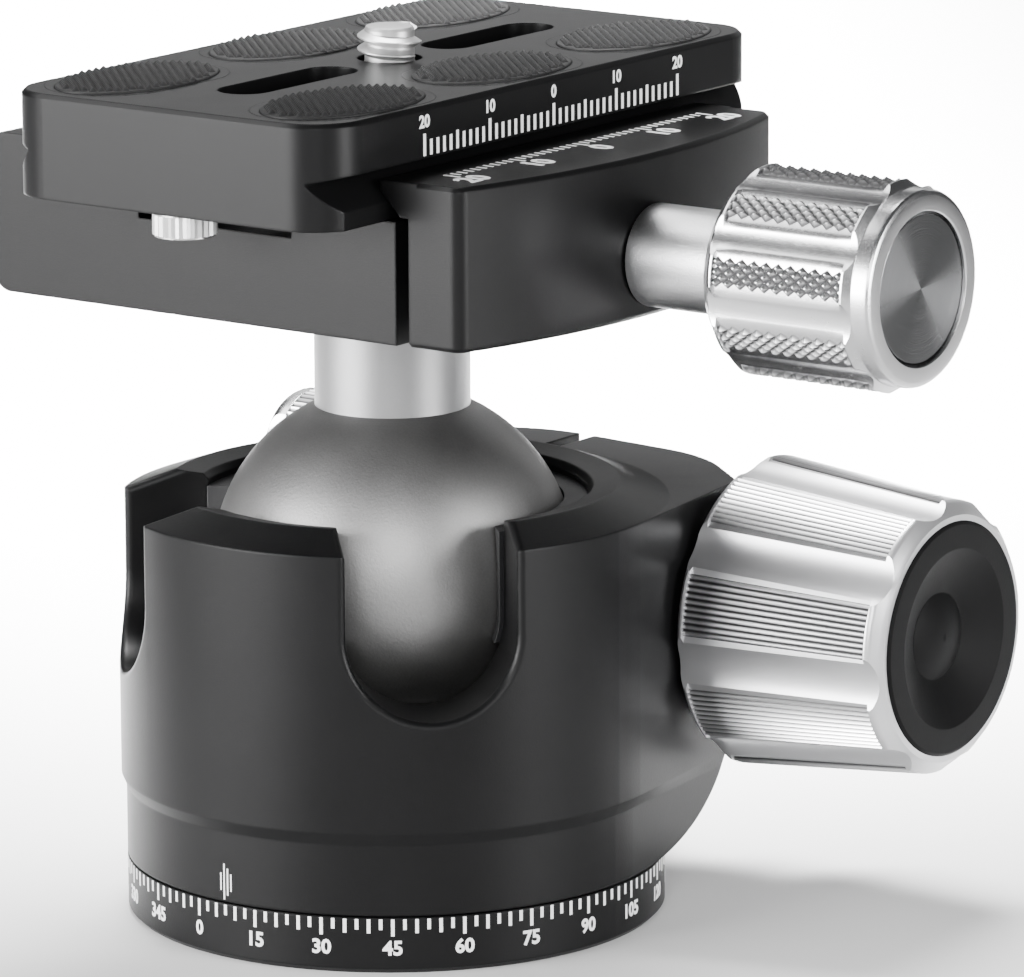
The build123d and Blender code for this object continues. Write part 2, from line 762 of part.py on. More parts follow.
def make_moving_jaw():
    bow = ThreePointArc((jaw_end_x, -clamp_half), (jaw_face_x, 0), (jaw_end_x, clamp_half))
    plan = make_face([
        bow,
        Line((jaw_end_x, clamp_half), (jaw_inner_x, clamp_half)),
        Line((jaw_inner_x, clamp_half), (jaw_inner_x, -clamp_half)),
        Line((jaw_inner_x, -clamp_half), (jaw_end_x, -clamp_half)),
    ])
    jaw = extrude(Pos(0, 0, clamp_bottom) * plan, jaw_top - clamp_bottom, dir=(0, 0, 1))
    corners = jaw.edges().filter_by(Axis.Z).group_by(Axis.X)[-1]
    jaw = fillet(corners, jaw_corner_round)
    outer_rims = jaw.faces().filter_by(Axis.Z)
    rim_edges = [e for face in outer_rims for e in face.edges() if e.center().X > jaw_inner_x + cut_over]
    jaw = chamfer(rim_edges, jaw_edge_chamfer)
    flank_end_x = jaw_inner_x - nose_root_inset
    jaw += prism_y([
        (nose_tip_x, nose_low_z),
        (flank_end_x, nose_sum - flank_end_x),
        (jaw_inner_x + cut_over, nose_sum - flank_end_x),
        (jaw_inner_x + cut_over, jaw_top),
        (nose_tip_x, jaw_top),
    ], clamp_half)
    for side in (-1, 1):
        jaw -= bore_x(
            pin_radius + shaft_fit, clamp_front_x, jaw_inner_x + pin_reach + pin_spare,
            side * pin_spacing / 2, screw_z)
    return jaw - bore_x(screw_bore, clamp_front_x, jaw_face_x + cut_over, 0, screw_z)


def make_jaw_pins():
    pins = [
        bore_x(pin_radius, clamp_front_x - pin_depth + face_gap, jaw_inner_x + pin_reach,
               side * pin_spacing / 2, screw_z)
        for side in (-1, 1)
    ]
    return Compound(children=pins)


def make_jaw_springs():
    """Outer shape of the two springs that push the jaws apart."""
    length = spring_pocket + jaw_slit - face_gap * 2
    coil = tube(spring_outer, pin_radius + shaft_fit, 0, length)
    springs = [
        along_x(clamp_front_x - spring_pocket + face_gap, side * pin_spacing / 2, screw_z) * coil
        for side in (-1, 1)
    ]
    return Compound(children=springs)


# ==== clamp screw and knob ==================================================================

hub_x = jaw_face_x + face_gap
clamp_knob_x = hub_x + hub_length
clamp_knob_end = clamp_knob_x + clamp_knob_length
disc_floor = clamp_knob_length - end_disc_thickness - end_disc_sunk


def make_clamp_screw():
    return bore_x(
        clamp_screw_radius, clamp_front_x - clamp_screw_depth, clamp_knob_x + disc_floor - face_gap,
        0, screw_z)


def make_knob_hub():
    hub = tube(hub_radius, clamp_screw_radius + seat_fit, 0, hub_length)
    return along_x(hub_x, 0, screw_z) * hub


def make_clamp_knob():
    rim = clamp_knob_radius - clamp_knob_rim_step
    rim_start = clamp_knob_length - clamp_knob_rim_length
    knob = turned([
        (0, 0),
        (clamp_knob_radius - clamp_knob_root_chamfer, 0),
        (clamp_knob_radius, clamp_knob_root_chamfer),
        (clamp_knob_radius, rim_start - clamp_knob_rim_step),
        (rim, rim_start),
        (rim, clamp_knob_length),
        (0, clamp_knob_length),
    ])
    knob = fillet(knob.faces().sort_by(Axis.Z)[-1].edges(), clamp_knob_rim_round)
    knob = fluted(
        knob, clamp_knob_flutes, clamp_flute_start, clamp_knob_radius, clamp_knob_radius, 0,
        rim_start, clamp_flute_radius, clamp_flute_depth)
    knob -= rod(clamp_screw_radius + seat_fit, -cut_over, disc_floor)
    knob -= rod(end_disc_radius + end_disc_gap, disc_floor, clamp_knob_length + cut_over)
    return along_x(clamp_knob_x, 0, screw_z) * knob


def make_end_disc():
    disc = rod(end_disc_radius, disc_floor, disc_floor + end_disc_thickness)
    disc = chamfer(disc.faces().sort_by(Axis.Z)[-1].edges(), end_disc_edge)
    return along_x(clamp_knob_x, 0, screw_z) * disc


# ==== quick-release plate ===================================================================

plate_half = plate_length / 2
groove_low_z = flank_sum - root_x
groove_high_z = groove_low_z + groove_root
side_low_z = groove_high_z + groove_rise
stop_y = plate_half - stop_screw_inset


def plate_section():
    half = [
        (flange_half_width, plate_bottom),
        (flange_half_width, plate_bottom + flange_edge_height),
        (root_x, groove_low_z),
        (root_x, groove_high_z),
        (side_x, side_low_z),
        (side_x, plate_top),
    ]
    return half + [(-x, z) for x, z in reversed(half)]


def make_plate():
    blank = extrude(RectangleRounded(plate_width, plate_length, plate_corner), plate_thickness)
    blank = chamfer(blank.faces().sort_by(Axis.Z)[-1].edges(), plate_edge)
    plate = (Pos(0, 0, plate_bottom) * blank) & prism_y(plate_section(), plate_half + cut_over)
    for side in (-1, 1):
        slot = Pos(0, side * slot_centre, plate_bottom - cut_over) * extrude(
            SlotOverall(slot_length, slot_width, 90), plate_thickness + 2 * cut_over)
        recess = Pos(0, side * slot_centre, plate_bottom - cut_over) * extrude(
            SlotOverall(slot_length + slot_recess_width - slot_width, slot_recess_width, 90),
            slot_recess_depth + cut_over)
        screw_hole = Pos(0, side * stop_y, 0) * rod(
            stop_screw_radius + seat_fit, plate_bottom - cut_over, plate_bottom + stop_screw_thread)
        plate -= slot + recess + screw_hole
    for pocket in pad_places():
        plate -= pocket * extrude(
            SlotOverall(pad_length, pad_width, 90), -pad_sunk)
    plate -= rod(camera_screw_radius + shaft_fit, plate_bottom, plate_top + cut_over)
    return plate - rod(camera_screw_head + head_room, plate_bottom - cut_over, camera_recess_z)


def pad_places():
    return [
        Pos(x, y, plate_top)
        for x in (-pad_row, pad_row)
        for y in (-pad_spacing, 0, pad_spacing)
    ]


def make_rubber_pads():
    pad = extrude(
        SlotOverall(pad_length - 2 * seat_fit, pad_width - 2 * seat_fit, 90), pad_sunk + pad_proud)
    return Compound(children=[place * Pos(0, 0, -pad_sunk) * pad for place in pad_places()])


def make_camera_screw():
    clip_top = camera_recess_z - face_gap
    head_high = clip_top - camera_clip_thickness
    head_low = head_high - camera_screw_head_height
    screw = rod(camera_screw_head, head_low, head_high)
    screw += rod(camera_shank_radius, head_low + cut_over, plate_top + cut_over)
    screw += rod(camera_screw_radius, plate_top, plate_top + camera_screw_proud)
    screw = chamfer(screw.faces().sort_by(Axis.Z)[-1].edges(), plate_edge)
    return screw - block(
        -camera_screw_head, camera_screw_head, -driver_slot_width / 2, driver_slot_width / 2,
        head_low - cut_over, head_low + driver_slot_depth)


def make_camera_clip():
    clip_top = camera_recess_z - face_gap
    return tube(
        camera_clip_radius, camera_shank_radius + seat_fit, clip_top - camera_clip_thickness, clip_top)


def make_stop_screws():
    screw = rod(stop_screw_head, plate_bottom - stop_screw_head_height, plate_bottom)
    screw += rod(stop_screw_radius, plate_bottom - cut_over, plate_bottom + stop_screw_thread - face_gap)
    low = plate_bottom - stop_screw_head_height
    socket = rod(stop_screw_radius * 0.8, low - cut_over, low + stop_screw_head_height / 2)
    return Compound(children=[Pos(0, side * stop_y, 0) * (screw - socket) for side in (-1, 1)])


parts = {
    "base_disc": make_base_disc(),
    "tripod_bush": make_tripod_bush(),
    "pan_washer": make_pan_washer(),
    "pan_retainer": make_pan_retainer(),
    "retainer_screws": make_retainer_screws(),
    "pan_plate": make_pan_plate(),
    "pan_screws": make_pan_screws(),
    "housing": make_housing(),
    "ball_sleeve": make_ball_sleeve(),
    "seat_cup": make_seat_cup(),
    "lower_seat": make_lower_seat(),
    "disc_springs": make_disc_springs(),
    "ball": make_ball(),
    "stem": make_stem(),
    "swivel_washer": make_swivel_washer(),
    "pinch_bolt": make_pinch_bolt(),
    "bolt_washer": make_bolt_washer(),
    "knob_washer": make_knob_washer(),
    "main_knob": make_main_knob(),
    "main_knob_insert": make_knob_insert(),
    "main_knob_cap": make_knob_cap(),
    "drag_knob": make_drag_knob(),
    "drag_screw": make_drag_screw(),
    "drag_tip": make_drag_tip(),
    "clamp_body": make_clamp_body(),
    "stem_screw": make_stem_screw(),
    "moving_jaw": make_moving_jaw(),
    "jaw_pins": make_jaw_pins(),
    "jaw_springs": make_jaw_springs(),
    "clamp_screw": make_clamp_screw(),
    "clamp_knob_hub": make_knob_hub(),
    "clamp_knob": make_clamp_knob(),
    "clamp_knob_disc": make_end_disc(),
    "plate": make_plate(),
    "rubber_pads": make_rubber_pads(),
    "camera_screw": make_camera_screw(),
    "camera_screw_clip": make_camera_clip(),
    "stop_screws": make_stop_screws(),
}

for name, solid in parts.items():
    export_step(solid, f"parts/{name}.step")
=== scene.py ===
import math
from collections import namedtuple

import bmesh
import bpy
from bpy.props import FloatProperty, FloatVectorProperty, IntProperty, PointerProperty
from mathutils import Matrix, Vector


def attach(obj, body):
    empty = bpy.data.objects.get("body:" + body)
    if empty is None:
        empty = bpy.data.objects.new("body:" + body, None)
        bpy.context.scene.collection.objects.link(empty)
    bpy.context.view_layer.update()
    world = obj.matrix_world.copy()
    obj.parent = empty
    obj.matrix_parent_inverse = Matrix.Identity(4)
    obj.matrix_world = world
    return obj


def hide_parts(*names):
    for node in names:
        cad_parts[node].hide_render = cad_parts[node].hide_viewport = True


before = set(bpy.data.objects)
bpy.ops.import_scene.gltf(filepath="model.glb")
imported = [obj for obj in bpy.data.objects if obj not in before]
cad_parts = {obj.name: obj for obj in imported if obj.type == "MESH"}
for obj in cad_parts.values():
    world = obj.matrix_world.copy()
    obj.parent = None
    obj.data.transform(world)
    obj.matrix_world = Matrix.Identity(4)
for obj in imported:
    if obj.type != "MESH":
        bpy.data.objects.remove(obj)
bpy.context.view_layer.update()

bl_info = {
    "name": "Tripod ball head",
    "version": (1, 0, 0),
    "blender": (4, 5, 0),
    "location": "View3D > Sidebar > Ball head",
    "description": "Dresses a tripod ball head with its finishes, scales, knurls and threads",
    "category": "Object",
}

MM = 0.001
WELD = 1e-7  # metres within which vertices are one
BUMP_HEIGHT = 0.0001  # metres of a bump at full strength
PRINT_THICKNESS = 0.06  # millimetres of the scales' paint


# ---- places on the head, in millimetres and degrees, as the solids have them --------------

# A fluted knob on an axis along X: where its root is, the way it points, the crest's radius
# at the root (low) and at its length (high), and its flutes: how many, the first one's
# angle, the tool's radius and how deep it cuts.
Knob = namedtuple("Knob", "root direction low high length flutes first tool depth")
MAIN_KNOB = Knob(Vector((26.5, 26.0, 28.4)), 1, 15.6, 13.5, 22.4, 8, 170.4, 6.0, 0.9)
CLAMP_KNOB = Knob(Vector((42.98, 0, 69.0)), 1, 10.1, 10.1, 19.1, 9, 178.0, 4.6, 0.65)
DRAG_KNOB = Knob(Vector((-17.6, 24.0, 38.2)), -1, 6.4, 6.4, 13.4, 4, -65.0, 7.0, 0.7)

PAN_RADIUS = 26.8
BASE_TOP = 5.6
BASE_ZERO_TURN = -98.9
HOUSING_BOTTOM = 5.8
INDEX_TURN = -91.2
JAW_TOP = 78.8
JAW_INNER_X = 21.6
PLATE_SIDE_X = 19.7
PLATE_TICK_LOW = 80.4
PLATE_NUMERAL_LOW = 83.07
PLATE_TOP = 85.13
PAD_PLACES = [(x, y) for x in (-12.4, 12.4) for y in (-23.8, 0.0, 23.8)]
STOP_SCREW_Y = 32.35
STOP_SCREW_KNURL_LOW = 72.75
CAMERA_SCREW_TOP = 88.33


# ==== settings ===============================================================================

COLOUR = {"subtype": "COLOR", "size": 3, "min": 0, "max": 1}


class BallHeadFinish(bpy.types.PropertyGroup):
    """Colours and gloss of the finishes"""
    black: FloatVectorProperty(
        name="Black anodising", description="Colour of the anodised pieces",
        default=(0.0036, 0.0036, 0.0038), **COLOUR)
    black_roughness: FloatProperty(
        name="Black roughness", description="Roughness of the anodised pieces",
        default=0.36, min=0, max=1)
    black_gloss: FloatProperty(
        name="Black gloss", description="Specular level of the anodised pieces",
        default=0.16, min=0, max=1)
    ball: FloatVectorProperty(
        name="Ball", description="Colour of the blasted ball",
        default=(0.29, 0.288, 0.286), **COLOUR)
    silver: FloatVectorProperty(
        name="Silver", description="Colour of the bare aluminium",
        default=(0.80, 0.80, 0.81), **COLOUR)
    steel: FloatVectorProperty(
        name="Steel", description="Colour of the bright steel",
        default=(0.52, 0.515, 0.51), **COLOUR)
    rubber: FloatVectorProperty(
        name="Rubber", description="Colour of the pads; the main knob's cap is half as light",
        default=(0.0095, 0.0095, 0.0098), **COLOUR)
    paint: FloatVectorProperty(
        name="Scale paint", description="Colour of the ticks and numerals",
        default=(0.82, 0.82, 0.82), **COLOUR)


class BallHeadScale(bpy.types.PropertyGroup):
    """Sizes of the printed scales"""
    degree_step: FloatProperty(
        name="Degrees per tick", description="Spacing of the ticks round the base",
        default=2.5, min=0.5)
    base_long: FloatProperty(
        name="Long tick", description="Every 15 degrees on the base, in mm", default=1.7)
    base_middle: FloatProperty(
        name="Middle tick", description="Every 5 degrees on the base, in mm", default=1.4)
    base_short: FloatProperty(
        name="Short tick", description="The other ticks on the base, in mm", default=1.05)
    line_width: FloatProperty(
        name="Line width", description="Width of the ticks on the base, in mm", default=0.34)
    base_numeral: FloatProperty(
        name="Base numeral", description="Height of the degree numerals, in mm", default=1.5)
    pitch: FloatProperty(
        name="Slide tick pitch", description="Spacing of the ticks along the plate, in mm",
        default=1.04)
    ticks_each_way: IntProperty(
        name="Slide ticks", description="Ticks each way from the middle", default=20, min=1)
    plate_numeral: FloatProperty(
        name="Plate numeral", description="Height of the numerals on the plate, in mm",
        default=1.28)
    jaw_numeral: FloatProperty(
        name="Jaw numeral", description="Height of the numerals on the jaw, in mm", default=2.65)


class BallHeadGrip(bpy.types.PropertyGroup):
    """Sizes of the knobs' grips, the pads and the camera thread"""
    main_ridges: IntProperty(
        name="Main knob ridges", description="Ridges in each grip band of the main knob",
        default=10, min=1)
    main_depth: FloatProperty(
        name="Main knob ridge depth", description="Depth of the ridges, in mm", default=0.34)
    knurl_length: FloatProperty(
        name="Knurl length", description="Length of a lozenge along the clamp knob, in mm",
        default=1.36)
    knurl_width: FloatProperty(
        name="Knurl width", description="Width of a lozenge round the clamp knob, in mm",
        default=1.03)
    knurl_depth: FloatProperty(
        name="Knurl depth", description="Depth of the lozenges, in mm", default=0.42)
    drag_ridges: IntProperty(
        name="Drag knob ridges", description="Ridges in each grip band of the drag knob",
        default=8, min=1)
    drag_depth: FloatProperty(
        name="Drag knob ridge depth", description="Depth of the ridges, in mm", default=0.25)
    pad_length: FloatProperty(
        name="Pad length", description="Length of an oval pad, in mm", default=20.2)
    pad_width: FloatProperty(
        name="Pad width", description="Width of an oval pad, in mm", default=12.1)
    pad_pitch: FloatProperty(
        name="Pad tooth pitch", description="Spacing of the teeth on the pads, in mm",
        default=1.1)
    pad_tooth: FloatProperty(
        name="Pad tooth height", description="Height of the teeth on the pads, in mm",
        default=0.38)
    thread_pitch: FloatProperty(
        name="Thread pitch", description="Pitch of the camera screw, in mm", default=1.27)


class BallHeadStudio(bpy.types.PropertyGroup):
    """Camera, floor and lights"""
    azimuth: FloatProperty(
        name="Camera azimuth", description="Angle of the view round the head, in degrees",
        default=36.08)
    elevation: FloatProperty(
        name="Camera elevation", description="Angle of the view above the floor, in degrees",
        default=12.6)
    roll: FloatProperty(
        name="Camera roll", description="Turn of the picture, in degrees", default=-0.3)
    distance: FloatProperty(
        name="Camera distance", description="From the camera to its target", unit="LENGTH",
        default=0.728)
    focal: FloatProperty(
        name="Focal length", description="Lens length on a 36 mm sensor", default=262.1)
    floor: FloatVectorProperty(
        name="Floor", description="Colour of the floor", default=(0.70, 0.70, 0.70), **COLOUR)
    world: FloatProperty(
        name="Room light", description="Strength of the even light of the room", default=0.06)
    left: FloatProperty(
        name="Left light", description="Brightness of the soft box on the left", default=32.0)
    front: FloatProperty(
        name="Front light", description="Brightness of the high soft box in front", default=14.5)
    right: FloatProperty(
        name="Right light", description="Brightness of the soft box on the right", default=30.0)
    top: FloatProperty(
        name="Top light", description="Brightness of the soft box overhead", default=6.5)
    rim: FloatProperty(
        name="Rim light", description="Brightness of the strip behind on the right", default=1.0)
    back: FloatProperty(
        name="Back light", description="Brightness of the soft box behind", default=1.2)
    floor_light: FloatProperty(
        name="Floor light", description="Brightness of the light on the floor behind",
        default=41.0)


# ==== node helpers ===========================================================================


def add(tree, kind, inputs=None, **settings):
    """New node with its settings; each input gets another node's socket or a plain value."""
    node = tree.nodes.new(kind)
    for key, value in settings.items():
        setattr(node, key, value)
    for key, value in (inputs or {}).items():
        if isinstance(value, bpy.types.NodeSocket):
            tree.links.new(value, node.inputs[key])
        else:
            node.inputs[key].default_value = value
    return node


def maths(tree, operation, *values):
    """Result of a Math node whose values are sockets or plain numbers."""
    return add(tree, "ShaderNodeMath", dict(enumerate(values)), operation=operation).outputs[0]


def vector(tree, **parts):
    """Vector of the sockets given as X, Y and Z."""
    return add(tree, "ShaderNodeCombineXYZ", parts).outputs[0]


# ==== materials ==============================================================================


def effect_group(name, inputs):
    """Empty shader group with named inputs, vectors where the value is None.

    Returns the tree, its inputs and a finish step, which takes the tone and the height that
    bumps the surface and puts out Tone and Normal."""
    tree = bpy.data.node_groups.new(name, "ShaderNodeTree")
    for label, value in inputs.items():
        kind = "NodeSocketVector" if value is None else "NodeSocketFloat"
        socket = tree.interface.new_socket(label, in_out="INPUT", socket_type=kind)
        if value is not None:
            socket.default_value = value
    tree.interface.new_socket("Tone", in_out="OUTPUT", socket_type="NodeSocketFloat")
    tree.interface.new_socket("Normal", in_out="OUTPUT", socket_type="NodeSocketVector")

    def finish(tone, height, strength, **more):
        bump = add(tree, "ShaderNodeBump", {
            "Distance": BUMP_HEIGHT, "Height": height, "Strength": strength, **more})
        add(tree, "NodeGroupOutput", {"Tone": tone, "Normal": bump.outputs["Normal"]})

    return tree, tree.nodes.new("NodeGroupInput").outputs, finish


def noise(tree, scale, detail, **more):
    """Random values over the piece's own coordinates."""
    where = add(tree, "ShaderNodeTexCoord").outputs["Object"]
    node = add(tree, "ShaderNodeTexNoise", {
        "Vector": where, "Scale": scale, "Detail": detail, **more})
    return node.outputs["Fac"]


def about_axis(tree, centre):
    """X, Y and Z of each point seen from a centre, and its distance from the axis along X."""
    where = add(tree, "ShaderNodeTexCoord").outputs["Object"]
    seen = add(tree, "ShaderNodeVectorMath", {0: where, 1: centre}, operation="SUBTRACT")
    flat = add(
        tree, "ShaderNodeVectorMath", {0: seen.outputs[0], 1: (0, 1, 1)}, operation="MULTIPLY")
    radius = add(tree, "ShaderNodeVectorMath", {0: flat.outputs[0]}, operation="LENGTH")
    parts = add(tree, "ShaderNodeSeparateXYZ", {0: seen.outputs[0]})
    return parts.outputs, radius.outputs["Value"]


def smooth_step(tree, value, low, high):
    """0 up to low, 1 from high, and a soft rise between them."""
    node = add(
        tree, "ShaderNodeMapRange", {"Value": value, "From Min": low, "From Max": high},
        interpolation_type="SMOOTHSTEP")
    return node.outputs[0]


def blasted_grain():
    """Fine random grain of a blasted or anodised surface, with softly broken edges."""
    tree, given, finish = effect_group(
        "Blasted grain", {"Grain": 5200.0, "Depth": 0.15, "Patch": 160.0, "Edge": 0.0003})
    fine = noise(tree, given["Grain"], 3.0, Roughness=0.6)
    patch = noise(tree, given["Patch"], 2.0)
    tone = maths(tree, "MULTIPLY_ADD", fine, 0.6, maths(tree, "MULTIPLY", patch, 0.4))
    edge = add(tree, "ShaderNodeBevel", {"Radius": given["Edge"]}, samples=4)
    finish(tone, fine, given["Depth"], Normal=edge.outputs["Normal"])


def turned_rings():
    """Fine tool marks round an axis along X through Centre, with a painted highlight: the colour
    is lighter in two opposite fans.

    Turn is the angle of the painted fans' middle, from Y towards Z."""
    tree, given, finish = effect_group(
        "Turned rings and painted highlight fans", {"Centre": None, "Rings": 12000.0, "Depth": 0.3, "Turn": 0.0})
    parts, radius = about_axis(tree, given["Centre"])
    angle = maths(tree, "ARCTAN2", parts["Z"], parts["Y"])
    twice = maths(tree, "MULTIPLY", maths(tree, "SUBTRACT", angle, given["Turn"]), 2.0)
    # Painted highlight: the colour is lighter in two opposite fans round the axis.
    painted_highlight_fan = smooth_step(tree, maths(tree, "COSINE", twice), -0.2, 0.95)
    ring = add(
        tree, "ShaderNodeTexNoise",
        {"W": maths(tree, "MULTIPLY", radius, given["Rings"]), "Scale": 1.0, "Detail": 2.0},
        noise_dimensions="1D").outputs["Fac"]
    tone = maths(tree, "MULTIPLY_ADD", painted_highlight_fan, 0.7, maths(tree, "MULTIPLY", ring, 0.3))
    finish(tone, ring, given["Depth"])


def worn_crests():
    """Painted shade in a grip cut into a knob that turns about X: lighter crests, and grooves
    darker towards their floor.

    Radius is the crests' at Centre, Slope its change along X and Depth the grooves'."""
    tree, given, finish = effect_group(
        "Painted groove shade", {"Centre": None, "Radius": 0.01, "Slope": 0.0, "Depth": 0.0003})
    parts, radius = about_axis(tree, given["Centre"])
    crest = maths(tree, "MULTIPLY_ADD", parts["X"], given["Slope"], given["Radius"])
    root = maths(tree, "SUBTRACT", crest, given["Depth"])
    # Painted shade: the tone rises from the groove floor to the crests.
    finish(smooth_step(tree, radius, root, crest), noise(tree, 3000.0, 2.0), 0.03)


def tinted(colour, share):
    """A colour made darker or lighter by a share."""
    return tuple(share * c for c in colour)


def surface(name, group, inputs, colour, spread, roughness, rough_spread, metallic, specular=0.5):
    """Material whose colour and roughness vary with the tone of a shared group."""
    mix_a, mix_b, mix_result = 6, 7, 2  # a colour Mix node's sockets
    material = bpy.data.materials.new(name)
    material.use_nodes = True
    tree = material.node_tree
    tree.nodes.clear()
    effect = add(tree, "ShaderNodeGroup", inputs, node_tree=bpy.data.node_groups[group]).outputs
    high = [min(1.0, c) for c in tinted(colour, 1 + spread)]
    shade = add(tree, "ShaderNodeMix", data_type="RGBA")
    shade.inputs[mix_a].default_value = (*tinted(colour, 1 - spread), 1)
    shade.inputs[mix_b].default_value = (*high, 1)
    tree.links.new(effect["Tone"], shade.inputs["Factor"])
    rough = add(tree, "ShaderNodeMapRange", {
        "Value": effect["Tone"], "To Min": max(0.02, roughness - rough_spread),
        "To Max": min(1.0, roughness + rough_spread)})
    bsdf = add(tree, "ShaderNodeBsdfPrincipled", {
        "Metallic": metallic, "Specular IOR Level": specular,
        "Base Color": shade.outputs[mix_result], "Roughness": rough.outputs[0],
        "Normal": effect["Normal"]})
    add(tree, "ShaderNodeOutputMaterial", {0: bsdf.outputs[0]})


def make_materials(finish, grip):
    """Every material of the head, with its own values for the shared groups."""
    blasted_grain()
    turned_rings()
    worn_crests()
    black, silver, rubber = tuple(finish.black), tuple(finish.silver), tuple(finish.rubber)
    rough, gloss = finish.black_roughness, finish.black_gloss
    # name, colour, its spread, roughness, metallic, grains, their depth, edge in mm, specular
    for name, colour, spread, roughness, metallic, grain, depth, edge, specular in (
        ("black_anodising", black, 0.25, rough, 0.0, 5200.0, 0.10, 0.35, gloss),
        ("plate_anodising", black, 0.25, 0.34, 0.0, 7000.0, 0.06, 0.30, gloss),
        ("ball_blasting", tuple(finish.ball), 0.25, 0.47, 1.0, 4200.0, 0.18, 0.1, 0.5),
        ("neck_blasting", tinted(silver, 0.38), 0.10, 0.42, 1.0, 4600.0, 0.12, 0.1, 0.5),
        ("machined_silver", tinted(silver, 0.84), 0.06, 0.25, 1.0, 3000.0, 0.06, 0.08, 0.5),
        ("hub_blasting", silver, 0.18, 0.34, 1.0, 5200.0, 0.35, 0.08, 0.5),
        ("polished_steel", tuple(finish.steel), 0.05, 0.18, 1.0, 2500.0, 0.02, 0.08, 0.5),
        ("black_oxide", (0.03, 0.03, 0.032), 0.2, 0.38, 1.0, 3000.0, 0.08, 0.1, 0.5),
        ("liner_plastic", (0.012, 0.012, 0.013), 0.2, 0.5, 0.0, 2500.0, 0.08, 0.15, 0.5),
        ("washer_plastic", (0.55, 0.55, 0.53), 0.1, 0.5, 0.0, 2500.0, 0.05, 0.1, 0.5),
        ("moulded_rubber", rubber, 0.35, 0.55, 0.0, 3800.0, 0.20, 0.2, 0.28),
        ("cap_rubber", tinted(rubber, 0.5), 0.25, 0.5, 0.0, 3800.0, 0.10, 0.2, 0.06),
        ("scale_paint", tuple(finish.paint), 0.06, 0.5, 0.0, 4000.0, 0.05, 0.02, 0.5),
    ):
        inputs = {"Grain": grain, "Depth": depth, "Edge": edge * MM}
        surface(
            name, "Blasted grain", inputs, colour, spread, roughness, 0.08, metallic, specular)
    # name, knob, depth of its grip, spread of the colour, roughness; the spread is painted shade,
    # darker towards the groove floor
    for name, knob, depth, spread, roughness in (
        ("main_grip_silver", MAIN_KNOB, grip.main_depth, 0.78, 0.36),
        ("clamp_grip_silver", CLAMP_KNOB, grip.knurl_depth, 0.62, 0.34),
        ("drag_grip_silver", DRAG_KNOB, grip.drag_depth, 0.78, 0.36),
    ):
        inputs = {
            "Centre": knob.root * MM, "Radius": knob.low * MM, "Depth": 0.85 * depth * MM,
            "Slope": (knob.high - knob.low) / knob.length}
        surface(
            name, "Painted groove shade", inputs, tinted(silver, 0.6), spread, roughness, -0.08, 1.0)
    # Spun disc: fine rings plus a painted highlight, two lighter fans turned -25 degrees.
    inputs = {
        "Centre": CLAMP_KNOB.root * MM, "Rings": 14000.0, "Depth": 0.25,
        "Turn": math.radians(-25)}
    surface("spun_disc", "Turned rings and painted highlight fans", inputs, (0.21, 0.212, 0.216), 0.6, 0.26, 0.08, 1.0)


NODES_OF_MATERIAL = {
    "black_anodising": ("base_disc", "pan_plate", "housing", "clamp_body", "moving_jaw"),
    "plate_anodising": ("plate",),
    "ball_blasting": ("ball",),
    "neck_blasting": ("stem",),
    "machined_silver": ("main_knob", "drag_knob", "clamp_knob"),
    "hub_blasting": ("clamp_knob_hub",),
    "spun_disc": ("clamp_knob_disc",),
    "polished_steel": (
        "tripod_bush", "pan_retainer", "disc_springs", "pinch_bolt", "bolt_washer",
        "main_knob_insert", "drag_screw", "jaw_pins", "jaw_springs", "clamp_screw",
        "camera_screw", "camera_screw_clip", "stop_screws"),
    "black_oxide": ("retainer_screws", "pan_screws", "stem_screw"),
    "liner_plastic": ("ball_sleeve", "seat_cup", "lower_seat", "swivel_washer", "drag_tip"),
    "washer_plastic": ("pan_washer", "knob_washer"),
    "moulded_rubber": ("rubber_pads",),
    "cap_rubber": ("main_knob_cap",),
}


class BALLHEAD_OT_finishes(bpy.types.Operator):
    """Makes the materials and gives each solid its finish"""
    bl_idname = "ballhead.finishes"
    bl_label = "Finishes"

    def execute(self, context):
        make_materials(context.scene.ballhead_finish, context.scene.ballhead_grip)
        for name, nodes in NODES_OF_MATERIAL.items():
            for node in nodes:
                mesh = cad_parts[node].data
                mesh.materials.clear()
                mesh.materials.append(bpy.data.materials[name])
        return {"FINISHED"}


# ==== what repeats, as geometry node trees ===================================================


def shape_tree(name, inputs):
    """Empty geometry tree with named inputs; returns the tree, its inputs and a finish step."""
    tree = bpy.data.node_groups.new(name, "GeometryNodeTree")
    tree.interface.new_socket("Geometry", in_out="INPUT", socket_type="NodeSocketGeometry")
    for label, value in inputs.items():
        kind = "NodeSocketInt" if isinstance(value, int) else "NodeSocketFloat"
        socket = tree.interface.new_socket(label, in_out="INPUT", socket_type=kind)
        socket.default_value = value
    tree.interface.new_socket("Material", in_out="INPUT", socket_type="NodeSocketMaterial")
    tree.interface.new_socket("Geometry", in_out="OUTPUT", socket_type="NodeSocketGeometry")
    given = tree.nodes.new("NodeGroupInput").outputs

    def finish(geometry):
        real = add(tree, "GeometryNodeRealizeInstances", {"Geometry": geometry})
        painted = add(tree, "GeometryNodeSetMaterial", {
            "Geometry": real.outputs["Geometry"], "Material": given["Material"]})
        add(tree, "NodeGroupOutput", {"Geometry": painted.outputs["Geometry"]})
        return tree

    return tree, given, finish


def point_line(tree, count, start, step):
    """Points in a straight line from start, each one step further."""
    line = add(
        tree, "GeometryNodeMeshLine", {"Count": count, "Start Location": start, "Offset": step},
        mode="OFFSET")
    return line.outputs["Mesh"]


def set_out(tree, points, shape, size, **more):
    """A copy of the shape on each point, scaled to a size."""
    row = add(tree, "GeometryNodeInstanceOnPoints", {
        "Points": points, "Instance": shape, "Scale": size, **more})
    return row.outputs["Instances"]


